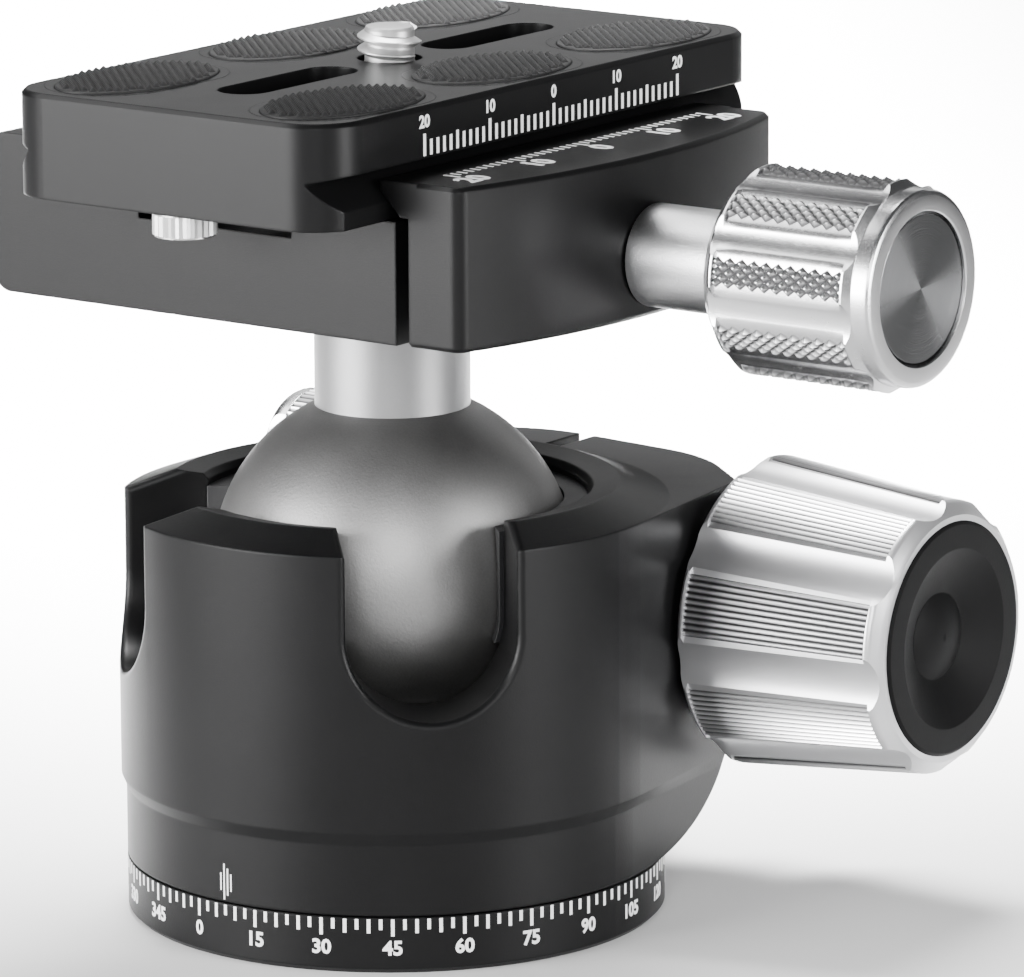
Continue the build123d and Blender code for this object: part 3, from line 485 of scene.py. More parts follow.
def tick_row_tree():
    """Row of ticks along X that stand on the axis; every so many are longer."""
    tree, given, finish = shape_tree("Tick row", {
        "Count": 41, "Start": 0.0, "Pitch": 1.0, "Width": 0.3, "Long": 2.0, "Middle": 1.5,
        "Short": 1.0, "Long every": 10, "Middle every": 5, "Thickness": PRINT_THICKNESS})
    line = point_line(
        tree, given["Count"], vector(tree, X=given["Start"]), vector(tree, X=given["Pitch"]))
    index = add(tree, "GeometryNodeInputIndex").outputs[0]

    def more(every, longer, shorter):
        counted = maths(tree, "MODULO", index, given[every])
        is_one = maths(tree, "LESS_THAN", counted, 0.5)
        extra = maths(tree, "SUBTRACT", given[longer], given[shorter])
        return maths(tree, "MULTIPLY", is_one, extra)

    both = maths(
        tree, "ADD", more("Middle every", "Middle", "Short"), more("Long every", "Long", "Middle"))
    length = maths(tree, "ADD", given["Short"], both)
    size = vector(tree, X=given["Width"], Y=length, Z=given["Thickness"])
    tick = add(tree, "GeometryNodeMeshCube", {"Size": (1, 1, 1)})
    stood = add(tree, "GeometryNodeTransform", {
        "Geometry": tick.outputs["Mesh"], "Translation": (0, 0.5, 0)})
    return finish(set_out(tree, line, stood.outputs["Geometry"], size))


def ridge_row_tree():
    """Row of straight ridges with a sharp crest, each along X, side by side along Y."""
    tree, given, finish = shape_tree(
        "Ridge row", {"Count": 10, "Pitch": 0.6, "Length": 18.0, "Height": 0.25})
    steps = maths(tree, "SUBTRACT", given["Count"], 1)
    first = maths(tree, "MULTIPLY", maths(tree, "MULTIPLY", steps, -0.5), given["Pitch"])
    line = point_line(
        tree, given["Count"], vector(tree, Y=first), vector(tree, Y=given["Pitch"]))
    prism = add(tree, "GeometryNodeMeshCylinder", {
        "Vertices": 3, "Side Segments": 1, "Radius": 2 / 3, "Depth": 1.0}, fill_type="NGON")
    laid = add(tree, "GeometryNodeTransform", {
        "Geometry": prism.outputs["Mesh"], "Rotation": (0, -math.pi / 2, 0),
        "Translation": (0.5, 0, 1 / 3)})
    prism_side = 2 / math.sqrt(3)
    size = vector(
        tree, X=given["Length"], Y=maths(tree, "DIVIDE", given["Pitch"], prism_side),
        Z=given["Height"])
    return finish(set_out(tree, line, laid.outputs["Geometry"], size))


def lozenge_field_tree():
    """Four-sided teeth edge to edge on two shifted grids, kept inside an oval outline."""
    tree, given, finish = shape_tree("Lozenge field", {
        "Columns": 8, "Rows": 3, "Pitch X": 2.0, "Pitch Y": 1.0, "Height": 0.3, "Crest": 0.2,
        "Squash": 1.0, "Reach": 100.0})
    joined = add(tree, "GeometryNodeJoinGeometry")
    for shift in (0, 1):
        grid = add(tree, "GeometryNodeMeshGrid")
        for side, number in (("X", given["Columns"]), ("Y", given["Rows"])):
            pitch = given["Pitch " + side]
            size = maths(tree, "MULTIPLY", maths(tree, "SUBTRACT", number, 1), pitch)
            if shift:
                size = maths(tree, "SUBTRACT", size, pitch)
            tree.links.new(size, grid.inputs["Size " + side])
            points = maths(tree, "SUBTRACT", number, shift)
            tree.links.new(points, grid.inputs["Vertices " + side])
        tree.links.new(grid.outputs["Mesh"], joined.inputs["Geometry"])
    position = add(tree, "GeometryNodeInputPosition").outputs[0]
    place = add(tree, "ShaderNodeSeparateXYZ", {0: position}).outputs
    along = maths(tree, "MULTIPLY", place["Y"], given["Squash"])
    squares = [maths(tree, "MULTIPLY", part, part) for part in (place["X"], along)]
    away = maths(tree, "SQRT", maths(tree, "ADD", *squares))
    tooth = add(tree, "GeometryNodeMeshCone", {
        "Vertices": 4, "Side Segments": 1, "Fill Segments": 1, "Radius Bottom": 0.5,
        "Radius Top": maths(tree, "MULTIPLY", given["Crest"], 0.5), "Depth": 1.0},
        fill_type="NGON")
    size = vector(tree, X=given["Pitch X"], Y=given["Pitch Y"], Z=given["Height"])
    return finish(set_out(
        tree, joined.outputs["Geometry"], tooth.outputs["Mesh"], size,
        Selection=maths(tree, "LESS_THAN", away, given["Reach"])))


def thread_tree():
    """Screw thread swept along a helix about Z."""
    tree, given, finish = shape_tree("Screw thread", {
        "Turns": 2.0, "Pitch": 1.27, "Radius": 2.8, "Root": 1.1, "Crest": 0.2, "Depth": 0.7})
    helix = add(tree, "GeometryNodeCurveSpiral", {
        "Resolution": 48, "Rotations": given["Turns"], "Start Radius": given["Radius"],
        "End Radius": given["Radius"],
        "Height": maths(tree, "MULTIPLY", given["Turns"], given["Pitch"])})
    upright = add(
        tree, "GeometryNodeSetCurveNormal", {"Curve": helix.outputs["Curve"]}, mode="Z_UP")
    section = add(tree, "GeometryNodeCurvePrimitiveQuadrilateral", {
        "Bottom Width": given["Root"], "Top Width": given["Crest"], "Height": given["Depth"],
        "Offset": 0.0}, mode="TRAPEZOID")
    turned = add(tree, "GeometryNodeTransform", {
        "Geometry": section.outputs["Curve"], "Rotation": (0, 0, math.pi / 2)})
    sweep = add(tree, "GeometryNodeCurveToMesh", {
        "Curve": upright.outputs["Curve"], "Profile Curve": turned.outputs["Geometry"],
        "Fill Caps": True})
    return finish(sweep.outputs["Mesh"])


def grown(tree, material, **sizes):
    """Plain mesh, in the tree's own millimetres, that a geometry tree makes with these sizes."""
    seed = bpy.data.objects.new("seed", bpy.data.meshes.new("seed"))
    bpy.context.scene.collection.objects.link(seed)
    modifier = seed.modifiers.new("tree", "NODES")
    modifier.node_group = tree
    names = {s.name: s.identifier for s in tree.interface.items_tree if s.in_out == "INPUT"}
    for label, value in sizes.items():
        modifier[names[label.replace("_", " ")]] = value
    modifier[names["Material"]] = bpy.data.materials[material]
    seen = seed.evaluated_get(bpy.context.evaluated_depsgraph_get())
    mesh = bpy.data.meshes.new_from_object(seen)
    seed.modifiers.remove(modifier)
    bpy.data.objects.remove(seed)
    if not mesh.polygons:
        raise RuntimeError(f"{tree.name} made nothing")
    return mesh


# ==== helpers for pieces =====================================================================


def lay(body, flat, place):
    """Adds a flat mesh in millimetres to a body in metres, its points put through place."""
    placed = flat.copy()
    for vertex in placed.vertices:
        vertex.co = place(*vertex.co) * MM
    body.from_mesh(placed)
    bpy.data.meshes.remove(placed)


def wrapped(meshes, place):
    """New body, in metres, of flat meshes whose points go through place(u, v, w)."""
    body = bmesh.new()
    for mesh in meshes:
        lay(body, mesh, place)
    return body


def piece(name, body, made, rides_on, sharp=30.0):
    """Object of a finished body: welded, normals outward, smooth but for its sharp edges.

    made names a material above, or bright_steel or blasted_silver, which this script does not
    make."""
    bmesh.ops.remove_doubles(body, verts=body.verts, dist=WELD)
    bmesh.ops.dissolve_degenerate(body, dist=WELD, edges=body.edges)
    bmesh.ops.recalc_face_normals(body, faces=body.faces)
    mesh = bpy.data.meshes.new(name)
    body.to_mesh(mesh)
    body.free()
    mesh.materials.clear()
    mesh.materials.append(bpy.data.materials[made])
    mesh.shade_smooth()
    mesh.set_sharp_from_angle(angle=math.radians(sharp))
    thing = bpy.data.objects.new(name, mesh)
    bpy.context.scene.collection.objects.link(thing)
    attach(thing, rides_on)
    return thing


def ring_of(body, points):
    """Vertices of a body at points in millimetres."""
    return [body.verts.new(Vector(point) * MM) for point in points]


def ring_strip(body, one, two):
    """Faces between two rings of vertices; a ring of one vertex is a pole."""
    count = max(len(one), len(two))
    for i in range(count):
        j = (i + 1) % count
        corners = [one[i % len(one)], one[j % len(one)], two[j % len(two)], two[i % len(two)]]
        unique = list(dict.fromkeys(corners))
        if len(unique) > 2:
            body.faces.new(unique)


def skin(body, rings, closed=False):
    """Faces from each ring to the next, and from the last to the first where closed."""
    for one, two in zip(rings, rings[1:] + rings[:1] if closed else rings[1:]):
        ring_strip(body, one, two)


def turns(parts):
    """Angles of equal parts of a full turn."""
    return [2 * math.pi * i / parts for i in range(parts)]


def numeral(text, height):
    """Flat bold figures, centred on X = 0 and standing on Y = 0."""
    curve = bpy.data.curves.new("numeral", "FONT")
    curve.body = text
    curve.align_x = "CENTER"
    curve.resolution_u = 3
    curve.offset = 0.032
    curve.extrude = 0.5
    letters = bpy.data.objects.new("numeral", curve)
    bpy.context.scene.collection.objects.link(letters)
    seen = letters.evaluated_get(bpy.context.evaluated_depsgraph_get())
    mesh = bpy.data.meshes.new_from_object(seen)
    bpy.data.objects.remove(letters)
    bpy.data.curves.remove(curve)
    low = min(v.co.y for v in mesh.vertices)
    size = height / (max(v.co.y for v in mesh.vertices) - low)
    for vertex in mesh.vertices:
        x, y, z = vertex.co
        vertex.co = (x * size, (y - low) * size, z * PRINT_THICKNESS)
    return mesh


def round_axis(radius, turn, height):
    """Wraps a flat strip on an upright cylinder: along, up, out."""
    def place(u, v, w):
        angle = math.radians(turn) + u / radius
        reach = radius + w
        return Vector((reach * math.cos(angle), reach * math.sin(angle), height + v))
    return place


def on_side(x, height):
    """Stands a flat strip on a side that faces +X."""
    return lambda u, v, w: Vector((x + w, u, height + v))


def on_top(x, height):
    """Lays a flat strip on a top face, read from +X."""
    return lambda u, v, w: Vector((x - v, u, height + w))


def on_knob(knob, turn, mean):
    """Wraps a flat patch on a knob: along its axis, round it at a mean radius, out of it."""
    def place(u, v, w):
        radius = knob.low + (knob.high - knob.low) * u / knob.length + w
        angle = math.radians(turn) + v / mean
        return knob.root + Vector((
            u * knob.direction, radius * math.sin(angle), radius * math.cos(angle)))
    return place


# ==== scales =================================================================================


class BALLHEAD_OT_base_scale(bpy.types.Operator):
    """Degree scale round the base ring"""
    bl_idname = "ballhead.base_scale"
    bl_label = "Degree scale"

    def execute(self, context):
        scale = context.scene.ballhead_scale
        tick_top = BASE_TOP - 0.12
        numeral_low = BASE_TOP - 3.75
        long_step, middle_step = 15, 5
        row = grown(
            tick_row_tree(), "scale_paint", Count=round(360 / scale.degree_step), Start=0.0,
            Pitch=PAN_RADIUS * math.radians(scale.degree_step), Width=scale.line_width,
            Long=scale.base_long, Middle=scale.base_middle, Short=scale.base_short,
            Long_every=round(long_step / scale.degree_step),
            Middle_every=round(middle_step / scale.degree_step))
        hang = round_axis(PAN_RADIUS, BASE_ZERO_TURN, tick_top)
        body = wrapped([row], lambda u, v, w: hang(u, -v, w))
        piece("degree_ticks", body, "scale_paint", "base")
        body = bmesh.new()
        for label in range(0, 360, long_step):
            place = round_axis(PAN_RADIUS, BASE_ZERO_TURN + label, numeral_low)
            lay(body, numeral(str(label), scale.base_numeral), place)
        piece("degree_numerals", body, "scale_paint", "base")
        return {"FINISHED"}


class BALLHEAD_OT_index_mark(bpy.types.Operator):
    """Index lines on the housing's lower band"""
    bl_idname = "ballhead.index_mark"
    bl_label = "Index mark"

    def execute(self, context):
        meshes = []
        for start, length, lift in (
                (-0.62, 1.75, 0.9), (-0.21, 3.6, 0.0), (0.21, 2.7, 0.45), (0.62, 1.75, 0.9)):
            line = grown(
                bpy.data.node_groups["Tick row"], "scale_paint", Count=1, Start=start,
                Width=0.17, Long=length, Middle=length, Short=length)
            for vertex in line.vertices:
                vertex.co.y += lift
            meshes.append(line)
        body = wrapped(meshes, round_axis(PAN_RADIUS, INDEX_TURN, HOUSING_BOTTOM + 0.2))
        piece("index_mark", body, "scale_paint", "housing")
        return {"FINISHED"}


def slide_scale(scale, name, tick_place, lengths, numeral_place, height, width, rides_on):
    """Ticks each way from the middle with a numeral at every ten."""
    each_way = scale.ticks_each_way
    long, middle, short = lengths
    row = grown(
        bpy.data.node_groups["Tick row"], "scale_paint", Count=2 * each_way + 1,
        Start=-each_way * scale.pitch, Pitch=scale.pitch, Width=width, Long=long,
        Middle=middle, Short=short)
    body = wrapped([row], tick_place)
    piece(name + "_ticks", body, "scale_paint", rides_on)
    meshes = []
    for ten in range(-each_way, each_way + 1, 10):
        flat = numeral(str(abs(ten)), height)
        for vertex in flat.vertices:
            vertex.co.x += ten * scale.pitch
        meshes.append(flat)
    body = wrapped(meshes, numeral_place)
    piece(name + "_numerals", body, "scale_paint", rides_on)


class BALLHEAD_OT_plate_scale(bpy.types.Operator):
    """Scale along the plate's side"""
    bl_idname = "ballhead.plate_scale"
    bl_label = "Plate scale"

    def execute(self, context):
        scale = context.scene.ballhead_scale
        slide_scale(
            scale, "plate_scale", on_side(PLATE_SIDE_X, PLATE_TICK_LOW), (2.13, 1.76, 1.5),
            on_side(PLATE_SIDE_X, PLATE_NUMERAL_LOW), scale.plate_numeral, 0.4, "plate")
        return {"FINISHED"}


class BALLHEAD_OT_jaw_scale(bpy.types.Operator):
    """Scale along the top of the moving jaw"""
    bl_idname = "ballhead.jaw_scale"
    bl_label = "Jaw scale"

    def execute(self, context):
        scale = context.scene.ballhead_scale
        ticks = on_top(JAW_INNER_X + 0.35, JAW_TOP)
        numerals = on_top(JAW_INNER_X + 5.0, JAW_TOP)
        slide_scale(
            scale, "jaw_scale", lambda u, v, w: ticks(u, -v, w), (1.9, 1.15, 1.15), numerals,
            scale.jaw_numeral, 0.3, "jaw")
        return {"FINISHED"}


# ==== knobs ==================================================================================


def fluted_knob(knob, profile, closed=False):
    """Turned knob with scallops along it; profile is (distance along the axis, radius)."""
    across_flute, across_band = 12, 8
    body = bmesh.new()
    rings = []
    for x, radius in profile:
        if radius < 1e-6:
            rings.append(ring_of(body, [knob.root + Vector((x * knob.direction, 0, 0))]))
            continue
        crest = knob.low + (knob.high - knob.low) * x / knob.length
        middle = crest + knob.tool - knob.depth
        edge = 0.0
        if radius > middle - knob.tool:
            edge = half_flute(knob, radius, middle)
        to_next = 2 * math.pi / knob.flutes - 2 * edge
        ring = []
        for flute in range(knob.flutes):
            centre = math.radians(knob.first + 360 * flute / knob.flutes)
            for step in range(across_flute):
                away = edge * (2 * step / across_flute - 1)
                reach = radius
                if edge > 0:
                    inside = max(0.0, knob.tool ** 2 - (middle * math.sin(away)) ** 2)
                    reach = min(radius, middle * math.cos(away) - math.sqrt(inside))
                ring.append((centre + away, reach))
            for step in range(across_band):
                ring.append((centre + edge + to_next * step / across_band, radius))
        rings.append(ring_of(body, [
            knob.root + Vector((x * knob.direction, r * math.sin(a), r * math.cos(a)))
            for a, r in ring]))
    skin(body, rings, closed)
    return body


def half_flute(knob, radius, middle):
    """Half of the angle that a tool with its middle at this radius takes out of a knob."""
    cosine = (radius ** 2 + middle ** 2 - knob.tool ** 2) / (2 * radius * middle)
    return math.acos(max(-1.0, min(1.0, cosine)))


def band_width(knob, mean):
    """Width of a band between two flutes at a mean radius."""
    half = half_flute(knob, mean, mean + knob.tool - knob.depth)
    return (math.radians(360 / knob.flutes) - 2 * half) * mean


def grip_bands(knob, flat, mean, along, sink):
    """Body of a flat patch sunk into each band between a knob's flutes, set along its axis."""
    body = bmesh.new()
    for band in range(knob.flutes):
        lie = on_knob(knob, knob.first + (band + 0.5) * 360 / knob.flutes, mean)
        lay(body, flat, lambda u, v, w: lie(u + along, v, w - sink))
    return body


def divided(points, steps):
    """Profile points with each stretch between two of them in that many equal parts."""
    out = [points[0]]
    for (x0, r0), (x1, r1), parts in zip(points, points[1:], steps):
        for i in range(1, parts + 1):
            out.append((x0 + (x1 - x0) * i / parts, r0 + (r1 - r0) * i / parts))
    return out


class BALLHEAD_OT_main_knob(bpy.types.Operator):
    """Tapered main knob with its flutes and bands of fine ridges"""
    bl_idname = "ballhead.main_knob"
    bl_label = "Main knob"

    def execute(self, context):
        grip = context.scene.ballhead_grip
        knob = MAIN_KNOB
        mean, grip_start, grip_length = 14.5, 0.83, 20.0
        sink = grip.main_depth

        def at(x, down=0.0):
            return (x, knob.low + (knob.high - knob.low) / knob.length * x - down)

        profile = divided(
            [(14.0, 0), (14.0, 5.02), (0, 5.02), (0, 14.9), (0.1, 15.1), (0.4, 15.4), at(0.6),
             at(0.8), at(0.85, sink), at(20.8, sink), at(20.9), at(21.1), (21.4, 13.45),
             (22.2, 12.5), (22.4, 12.3), (22.4, 11.72), (19.8, 11.72), (19.8, 0)],
            [1, 1, 1, 1, 3, 1, 1, 1, 12, 1, 1, 1, 5, 1, 1, 1, 1])
        body = fluted_knob(knob, profile)
        turned = piece("main_knob_body", body, "blasted_silver", "main_knob", 25)
        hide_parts("main_knob")
        ridges = grown(
            ridge_row_tree(), "main_grip_silver", Count=grip.main_ridges,
            Pitch=band_width(knob, mean) / grip.main_ridges, Length=grip_length, Height=sink)
        body = grip_bands(knob, ridges, mean, grip_start, sink)
        piece("main_knob_ridges", body, "main_grip_silver", "main_knob", 10)
        return {"FINISHED"}


class BALLHEAD_OT_clamp_knob(bpy.types.Operator):
    """Clamp knob with its flutes, bands of lozenge knurl and front ring"""
    bl_idname = "ballhead.clamp_knob"
    bl_label = "Clamp knob"

    def execute(self, context):
        grip = context.scene.ballhead_grip
        knob = CLAMP_KNOB
        crest = knob.low
        sink = grip.knurl_depth
        low, high, end = 1.95, 16.2, 16.5
        profile = divided(
            [(0, 2.82), (0, 8.4), (0.15, 8.55), (1.45, 9.95), (1.7, crest), (1.9, crest),
             (low, crest - sink), (high, crest - sink), (end - 0.15, crest), (end + 0.05, crest),
             (17.15, 9.42), (17.3, 9.4), (18.5, 9.4), (18.75, 9.35), (18.95, 9.2), (19.05, 9.0),
             (19.1, 8.8), (19.1, 7.45), (19.0, 7.35), (17.35, 7.35), (17.35, 2.82)],
            [1, 1, 4, 1, 1, 1, 8, 1, 1, 5, 1, 1, 1, 1, 1, 1, 1, 1, 1, 1])
        body = fluted_knob(knob, profile, closed=True)
        turned = piece(
            "clamp_knob_body", body, "machined_silver", "clamp_knob", 25)
        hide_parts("clamp_knob")
        lozenges = grown(
            lozenge_field_tree(), "clamp_grip_silver", Rows=3, Crest=0.12,
            Columns=int((end - 2.2) / grip.knurl_length) + 1, Pitch_X=grip.knurl_length,
            Pitch_Y=grip.knurl_width, Height=sink)
        body = grip_bands(knob, lozenges, crest, (low + high) / 2, sink)
        piece("clamp_knob_knurl", body, "clamp_grip_silver", "clamp_knob", 10)
        return {"FINISHED"}


class BALLHEAD_OT_drag_knob(bpy.types.Operator):
    """Small drag knob with its flutes and bands of ridges"""
    bl_idname = "ballhead.drag_knob"
    bl_label = "Drag knob"

    def execute(self, context):
        grip = context.scene.ballhead_grip
        knob = DRAG_KNOB
        crest, length = knob.low, knob.length
        sink = grip.drag_depth
        grip_start, grip_length, edge = 1.33, 9.5, 2
        rounding = [
            (length - edge + edge * math.sin(a), crest - edge + edge * math.cos(a))
            for a in (math.radians(10 * i) for i in range(1, 9))]
        profile = divided(
            [(6.7, 0), (6.7, 2.02), (0, 2.02), (0, 5.4), (1.0, crest), (1.3, crest),
             (1.35, crest - sink), (10.8, crest - sink), (10.85, crest), (11.4, crest)],
            [1, 1, 1, 4, 1, 1, 4, 1, 1]) + rounding + [(length, crest - edge), (length, 0)]
        body = fluted_knob(knob, profile)
        turned = piece("drag_knob_body", body, "machined_silver", "drag_knob", 25)
        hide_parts("drag_knob")
        ridges = grown(
            bpy.data.node_groups["Ridge row"], "drag_grip_silver", Count=grip.drag_ridges,
            Pitch=band_width(knob, crest) / grip.drag_ridges, Length=grip_length, Height=sink)
        body = grip_bands(knob, ridges, crest, grip_start, sink)
        piece("drag_knob_ridges", body, "drag_grip_silver", "drag_knob", 10)
        return {"FINISHED"}


# ==== plate ==================================================================================


def slot_outline(length, width, parts):
    """Points of a slot-shaped outline about the origin, long along Y."""
    radius, straight = width / 2, (length - width) / 2
    return [
        (radius * math.cos(a), radius * math.sin(a) + math.copysign(straight, math.sin(a)))
        for a in turns(parts)]


def oval_outline(length, width, parts):
    """Points of an oval about the origin, long along Y."""
    return [(width / 2 * math.cos(a), length / 2 * math.sin(a)) for a in turns(parts)]


class BALLHEAD_OT_pads(bpy.types.Operator):
    """Oval rubber pads, their fine teeth and the flush beds round them"""
    bl_idname = "ballhead.pads"
    bl_label = "Pads"

    def execute(self, context):
        grip = context.scene.ballhead_grip
        pitch = grip.pad_pitch
        long, wide = grip.pad_length, grip.pad_width
        parts = 96
        bed_length, bed_width, bed_low, bed_high = 20.9, 12.7, -0.49, 0.008
        tooth_low = 0.17
        teeth = grown(
            bpy.data.node_groups["Lozenge field"], "moulded_rubber",
            Columns=int(wide / pitch) + 1, Rows=int(long / pitch) + 1, Pitch_X=pitch,
            Pitch_Y=pitch, Height=grip.pad_tooth, Crest=0.2, Squash=wide / long,
            Reach=(wide - pitch * 0.7) / 2)
        ovals, fields, beds = bmesh.new(), bmesh.new(), bmesh.new()
        for x, y in PAD_PLACES:
            def level(body, outline, z):
                return ring_of(body, [(x + px, y + py, PLATE_TOP + z) for px, py in outline])

            rings = [
                level(ovals, oval_outline(long - 2 * shrink, wide - 2 * shrink, parts), z)
                for shrink, z in ((0.3, -0.5), (0.0, -0.4), (0.0, 0.08), (0.12, 0.2))]
            skin(ovals, rings)
            ovals.faces.new(rings[0])
            ovals.faces.new(rings[-1])
            lay(fields, teeth, lambda u, v, w: Vector((x + u, y + v, PLATE_TOP + tooth_low + w)))
            hole = oval_outline(long + 0.1, wide + 0.1, parts)
            edge = slot_outline(bed_length, bed_width, parts)
            skin(beds, [
                level(beds, hole, bed_low), level(beds, hole, bed_high),
                level(beds, edge, bed_high), level(beds, edge, bed_low)], closed=True)
        pads = piece("oval_pads", ovals, "moulded_rubber", "plate")
        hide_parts("rubber_pads")
        piece("pad_teeth", fields, "moulded_rubber", "plate", 10)
        piece("pad_beds", beds, "plate_anodising", "plate")
        return {"FINISHED"}


class BALLHEAD_OT_stop_screws(bpy.types.Operator):
    """Fine knurl round the heads of the two stop screws"""
    bl_idname = "ballhead.stop_screws"
    bl_label = "Stop screws"

    def execute(self, context):
        count, radius, depth, tall = 26, 2.95, 0.16, 1.95
        ridges = grown(
            bpy.data.node_groups["Ridge row"], "bright_steel", Count=count,
            Pitch=2 * math.pi * radius / count, Length=tall, Height=depth)
        wrap = round_axis(radius, 0, STOP_SCREW_KNURL_LOW)
        body = bmesh.new()
        for y in (-STOP_SCREW_Y, STOP_SCREW_Y):
            lay(body, ridges, lambda u, v, w: Vector((0, y, 0)) + wrap(v, u, w))
        piece("stop_screw_knurl", body, "bright_steel", "plate", 10)
        return {"FINISHED"}


class BALLHEAD_OT_camera_screw(bpy.types.Operator):
    """Camera screw with a cut thread"""
    bl_idname = "ballhead.camera_screw"
    bl_label = "Camera screw"

    def execute(self, context):
        pitch = context.scene.ballhead_grip.thread_pitch
        top = CAMERA_SCREW_TOP
        cut = PLATE_TOP - 0.3
        crest, root, runout = 3.15, 2.38, 0.45
        depth = crest - root
        low = PLATE_TOP + runout
        body = bmesh.new()
        body.from_mesh(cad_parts["camera_screw"].data)
        bmesh.ops.remove_doubles(body, verts=body.verts, dist=WELD)
        geometry = body.verts[:] + body.edges[:] + body.faces[:]
        bmesh.ops.bisect_plane(
            body, geom=geometry, plane_co=(0, 0, cut * MM), plane_no=(0, 0, 1),
            clear_outer=True)
        bmesh.ops.holes_fill(body, edges=[e for e in body.edges if e.is_boundary])
        core = [
            (cut, 0), (cut, 2.45), (top - 0.35, 2.45), (top - 0.05, 2.3), (top, 2.15), (top, 0)]
        skin(body, [
            ring_of(body, [
                (radius * math.cos(a), radius * math.sin(a), z)
                for a in turns(64 if radius else 1)])
            for z, radius in core])
        thread = grown(
            thread_tree(), "bright_steel", Turns=(top - runout - low) / pitch, Pitch=pitch,
            Radius=crest - depth / 2, Root=pitch * 0.9, Crest=0.12, Depth=depth)
        lay(body, thread, lambda u, v, w: Vector((u, v, w + low)))
        screw = piece("camera_screw_cut", body, "bright_steel", "camera_screw", 25)
        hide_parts("camera_screw")
        return {"FINISHED"}


# ==== stage ==================================================================================


class BALLHEAD_OT_stage(bpy.types.Operator):
    """Floor, soft lights, room light and the camera"""
    bl_idname = "ballhead.stage"
    bl_label = "Stage"

    def execute(self, context):
        studio = context.scene.ballhead_studio
        make_floor(studio)
        make_lights(studio)
        make_camera(studio)
        return {"FINISHED"}


def make_floor(studio):
    """Pale floor, a hair below the base's underside."""
    mesh = bpy.data.meshes.new("floor")
    reach = 3.0
    low = -0.00002
    mesh.from_pydata(
        [(-reach, -reach, low), (reach, -reach, low), (reach, reach, low), (-reach, reach, low)],
        [], [(0, 1, 2, 3)])
    floor = bpy.data.objects.new("floor", mesh)
    bpy.context.scene.collection.objects.link(floor)
    material = bpy.data.materials.new("floor")
    material.use_nodes = True
    bsdf = material.node_tree.nodes["Principled BSDF"]
    bsdf.inputs["Base Color"].default_value = (*studio.floor, 1)
    bsdf.inputs["Roughness"].default_value = 0.6
    mesh.materials.append(material)


def soft_light(name, turn, height, away, target, width, tall, radiance, spread=180):
    """Soft box at a polar angle round the head, a height and a distance, facing its target."""
    light = bpy.data.lights.new(name, "AREA")
    light.shape = "RECTANGLE"
    light.size = width
    light.size_y = tall
    light.energy = radiance * math.pi * width * tall
    light.spread = math.radians(spread)
    lamp = bpy.data.objects.new(name, light)
    bpy.context.scene.collection.objects.link(lamp)
    angle = math.radians(turn)
    lamp.location = (away * math.cos(angle), away * math.sin(angle), height)
    facing = (Vector(target) - lamp.location).to_track_quat("-Z", "Y")
    lamp.rotation_euler = facing.to_euler()


def make_lights(studio):
    """Soft boxes round the head, one for the floor behind it, and the room's even light."""
    head = (0.01, 0, 0.045)
    floor_behind = (-0.265, 0.351, 0)
    soft_light("left_box", -117, 0.17, 0.70, head, 0.50, 0.33, studio.left)
    soft_light("front_box", -54, 0.32, 0.72, head, 0.30, 0.32, studio.front)
    soft_light("right_box", 4, 0.16, 0.62, head, 0.20, 0.30, studio.right)
    soft_light("top_box", -165, 0.65, 0.45, head, 0.35, 0.35, studio.top)
    soft_light("rim_box", 92, 0.22, 0.60, head, 0.14, 0.30, studio.rim)
    soft_light("back_box", 126, 0.38, 0.90, head, 0.70, 0.25, studio.back)
    soft_light(
        "floor_box", 127, 0.35, 0.43, floor_behind, 0.20, 0.70, studio.floor_light, spread=60)
    world = bpy.data.worlds.new("room")
    world.use_nodes = True
    background = world.node_tree.nodes["Background"]
    background.inputs["Color"].default_value = (0.95, 0.96, 1.0, 1)
    background.inputs["Strength"].default_value = studio.world
    bpy.context.scene.world = world


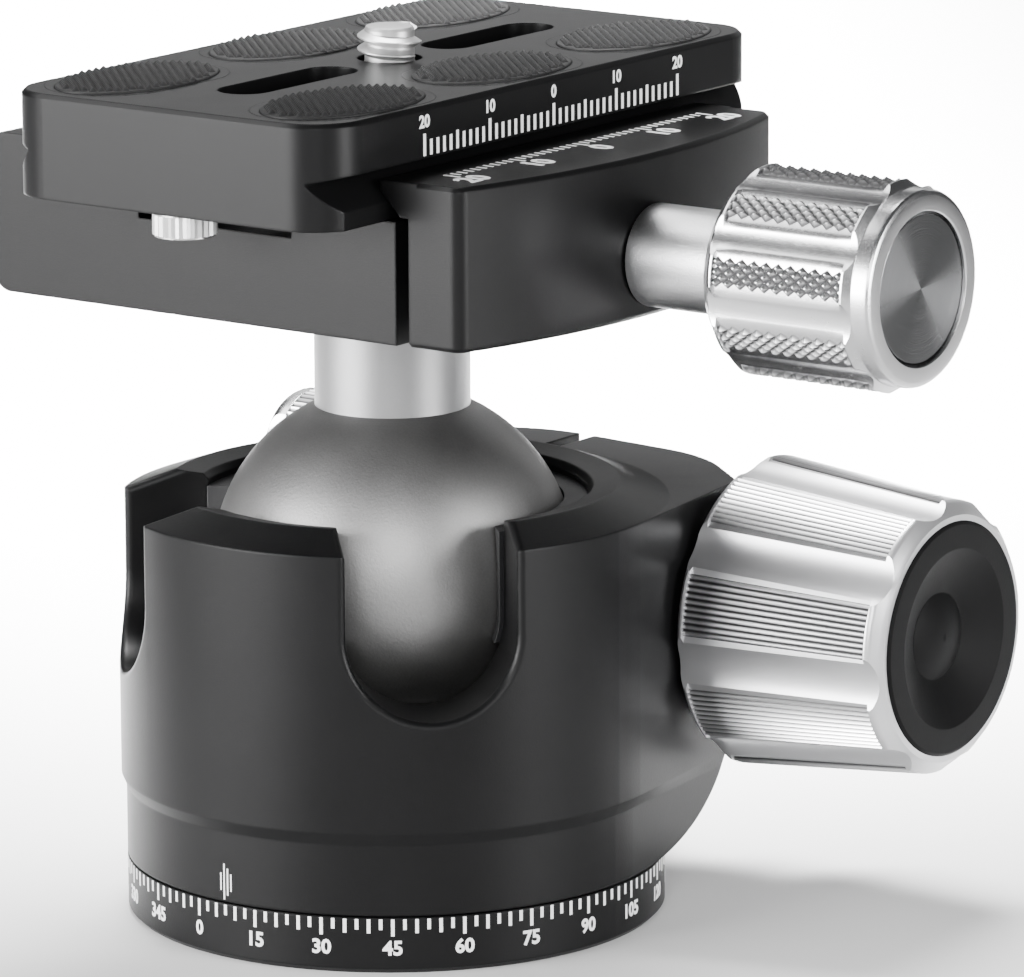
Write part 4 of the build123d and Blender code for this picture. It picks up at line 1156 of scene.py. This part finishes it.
def make_camera(studio):
    """Camera aimed at the middle of the head from its azimuth, elevation and roll."""
    data = bpy.data.cameras.new("camera")
    data.sensor_width = 36
    data.lens = studio.focal
    data.clip_start = 0.05
    camera = bpy.data.objects.new("camera", data)
    bpy.context.scene.collection.objects.link(camera)
    azimuth = math.radians(studio.azimuth)
    elevation = math.radians(studio.elevation)
    roll = math.radians(studio.roll)
    back = Vector((
        math.sin(azimuth) * math.cos(elevation), -math.cos(azimuth) * math.cos(elevation),
        math.sin(elevation)))
    level = Vector((math.cos(azimuth), math.sin(azimuth), 0))
    right = level * math.cos(roll) + back.cross(level) * math.sin(roll)
    turn = Matrix((right, back.cross(right), back)).transposed().to_4x4()
    target = Vector((14.5, 0, 43.9)) * MM
    camera.matrix_world = Matrix.Translation(target + back * studio.distance) @ turn
    bpy.context.scene.camera = camera


# ==== panel and registration =================================================================


class BALLHEAD_PT_panel(bpy.types.Panel):
    """The head's operators, in the order they run"""
    bl_label = "Ball head"
    bl_idname = "BALLHEAD_PT_panel"
    bl_space_type = "VIEW_3D"
    bl_region_type = "UI"
    bl_category = "Ball head"

    def draw(self, context):
        for operator in OPERATORS:
            self.layout.operator(operator.bl_idname)


OPERATORS = (
    BALLHEAD_OT_finishes,
    BALLHEAD_OT_base_scale,
    BALLHEAD_OT_index_mark,
    BALLHEAD_OT_plate_scale,
    BALLHEAD_OT_jaw_scale,
    BALLHEAD_OT_main_knob,
    BALLHEAD_OT_clamp_knob,
    BALLHEAD_OT_drag_knob,
    BALLHEAD_OT_pads,
    BALLHEAD_OT_stop_screws,
    BALLHEAD_OT_camera_screw,
    BALLHEAD_OT_stage,
)
SETTINGS = (
    ("ballhead_finish", BallHeadFinish),
    ("ballhead_scale", BallHeadScale),
    ("ballhead_grip", BallHeadGrip),
    ("ballhead_studio", BallHeadStudio),
)


def register():
    for name, group in SETTINGS:
        bpy.utils.register_class(group)
        setattr(bpy.types.Scene, name, PointerProperty(type=group))
    for cls in OPERATORS + (BALLHEAD_PT_panel,):
        bpy.utils.register_class(cls)


def unregister():
    for cls in reversed(OPERATORS + (BALLHEAD_PT_panel,)):
        bpy.utils.unregister_class(cls)
    for name, group in SETTINGS:
        delattr(bpy.types.Scene, name)
        bpy.utils.unregister_class(group)


def main():
    register()
    for operator in OPERATORS:
        group, name = operator.bl_idname.split(".")
        getattr(getattr(bpy.ops, group), name)()


if __name__ == "__main__":
    main()
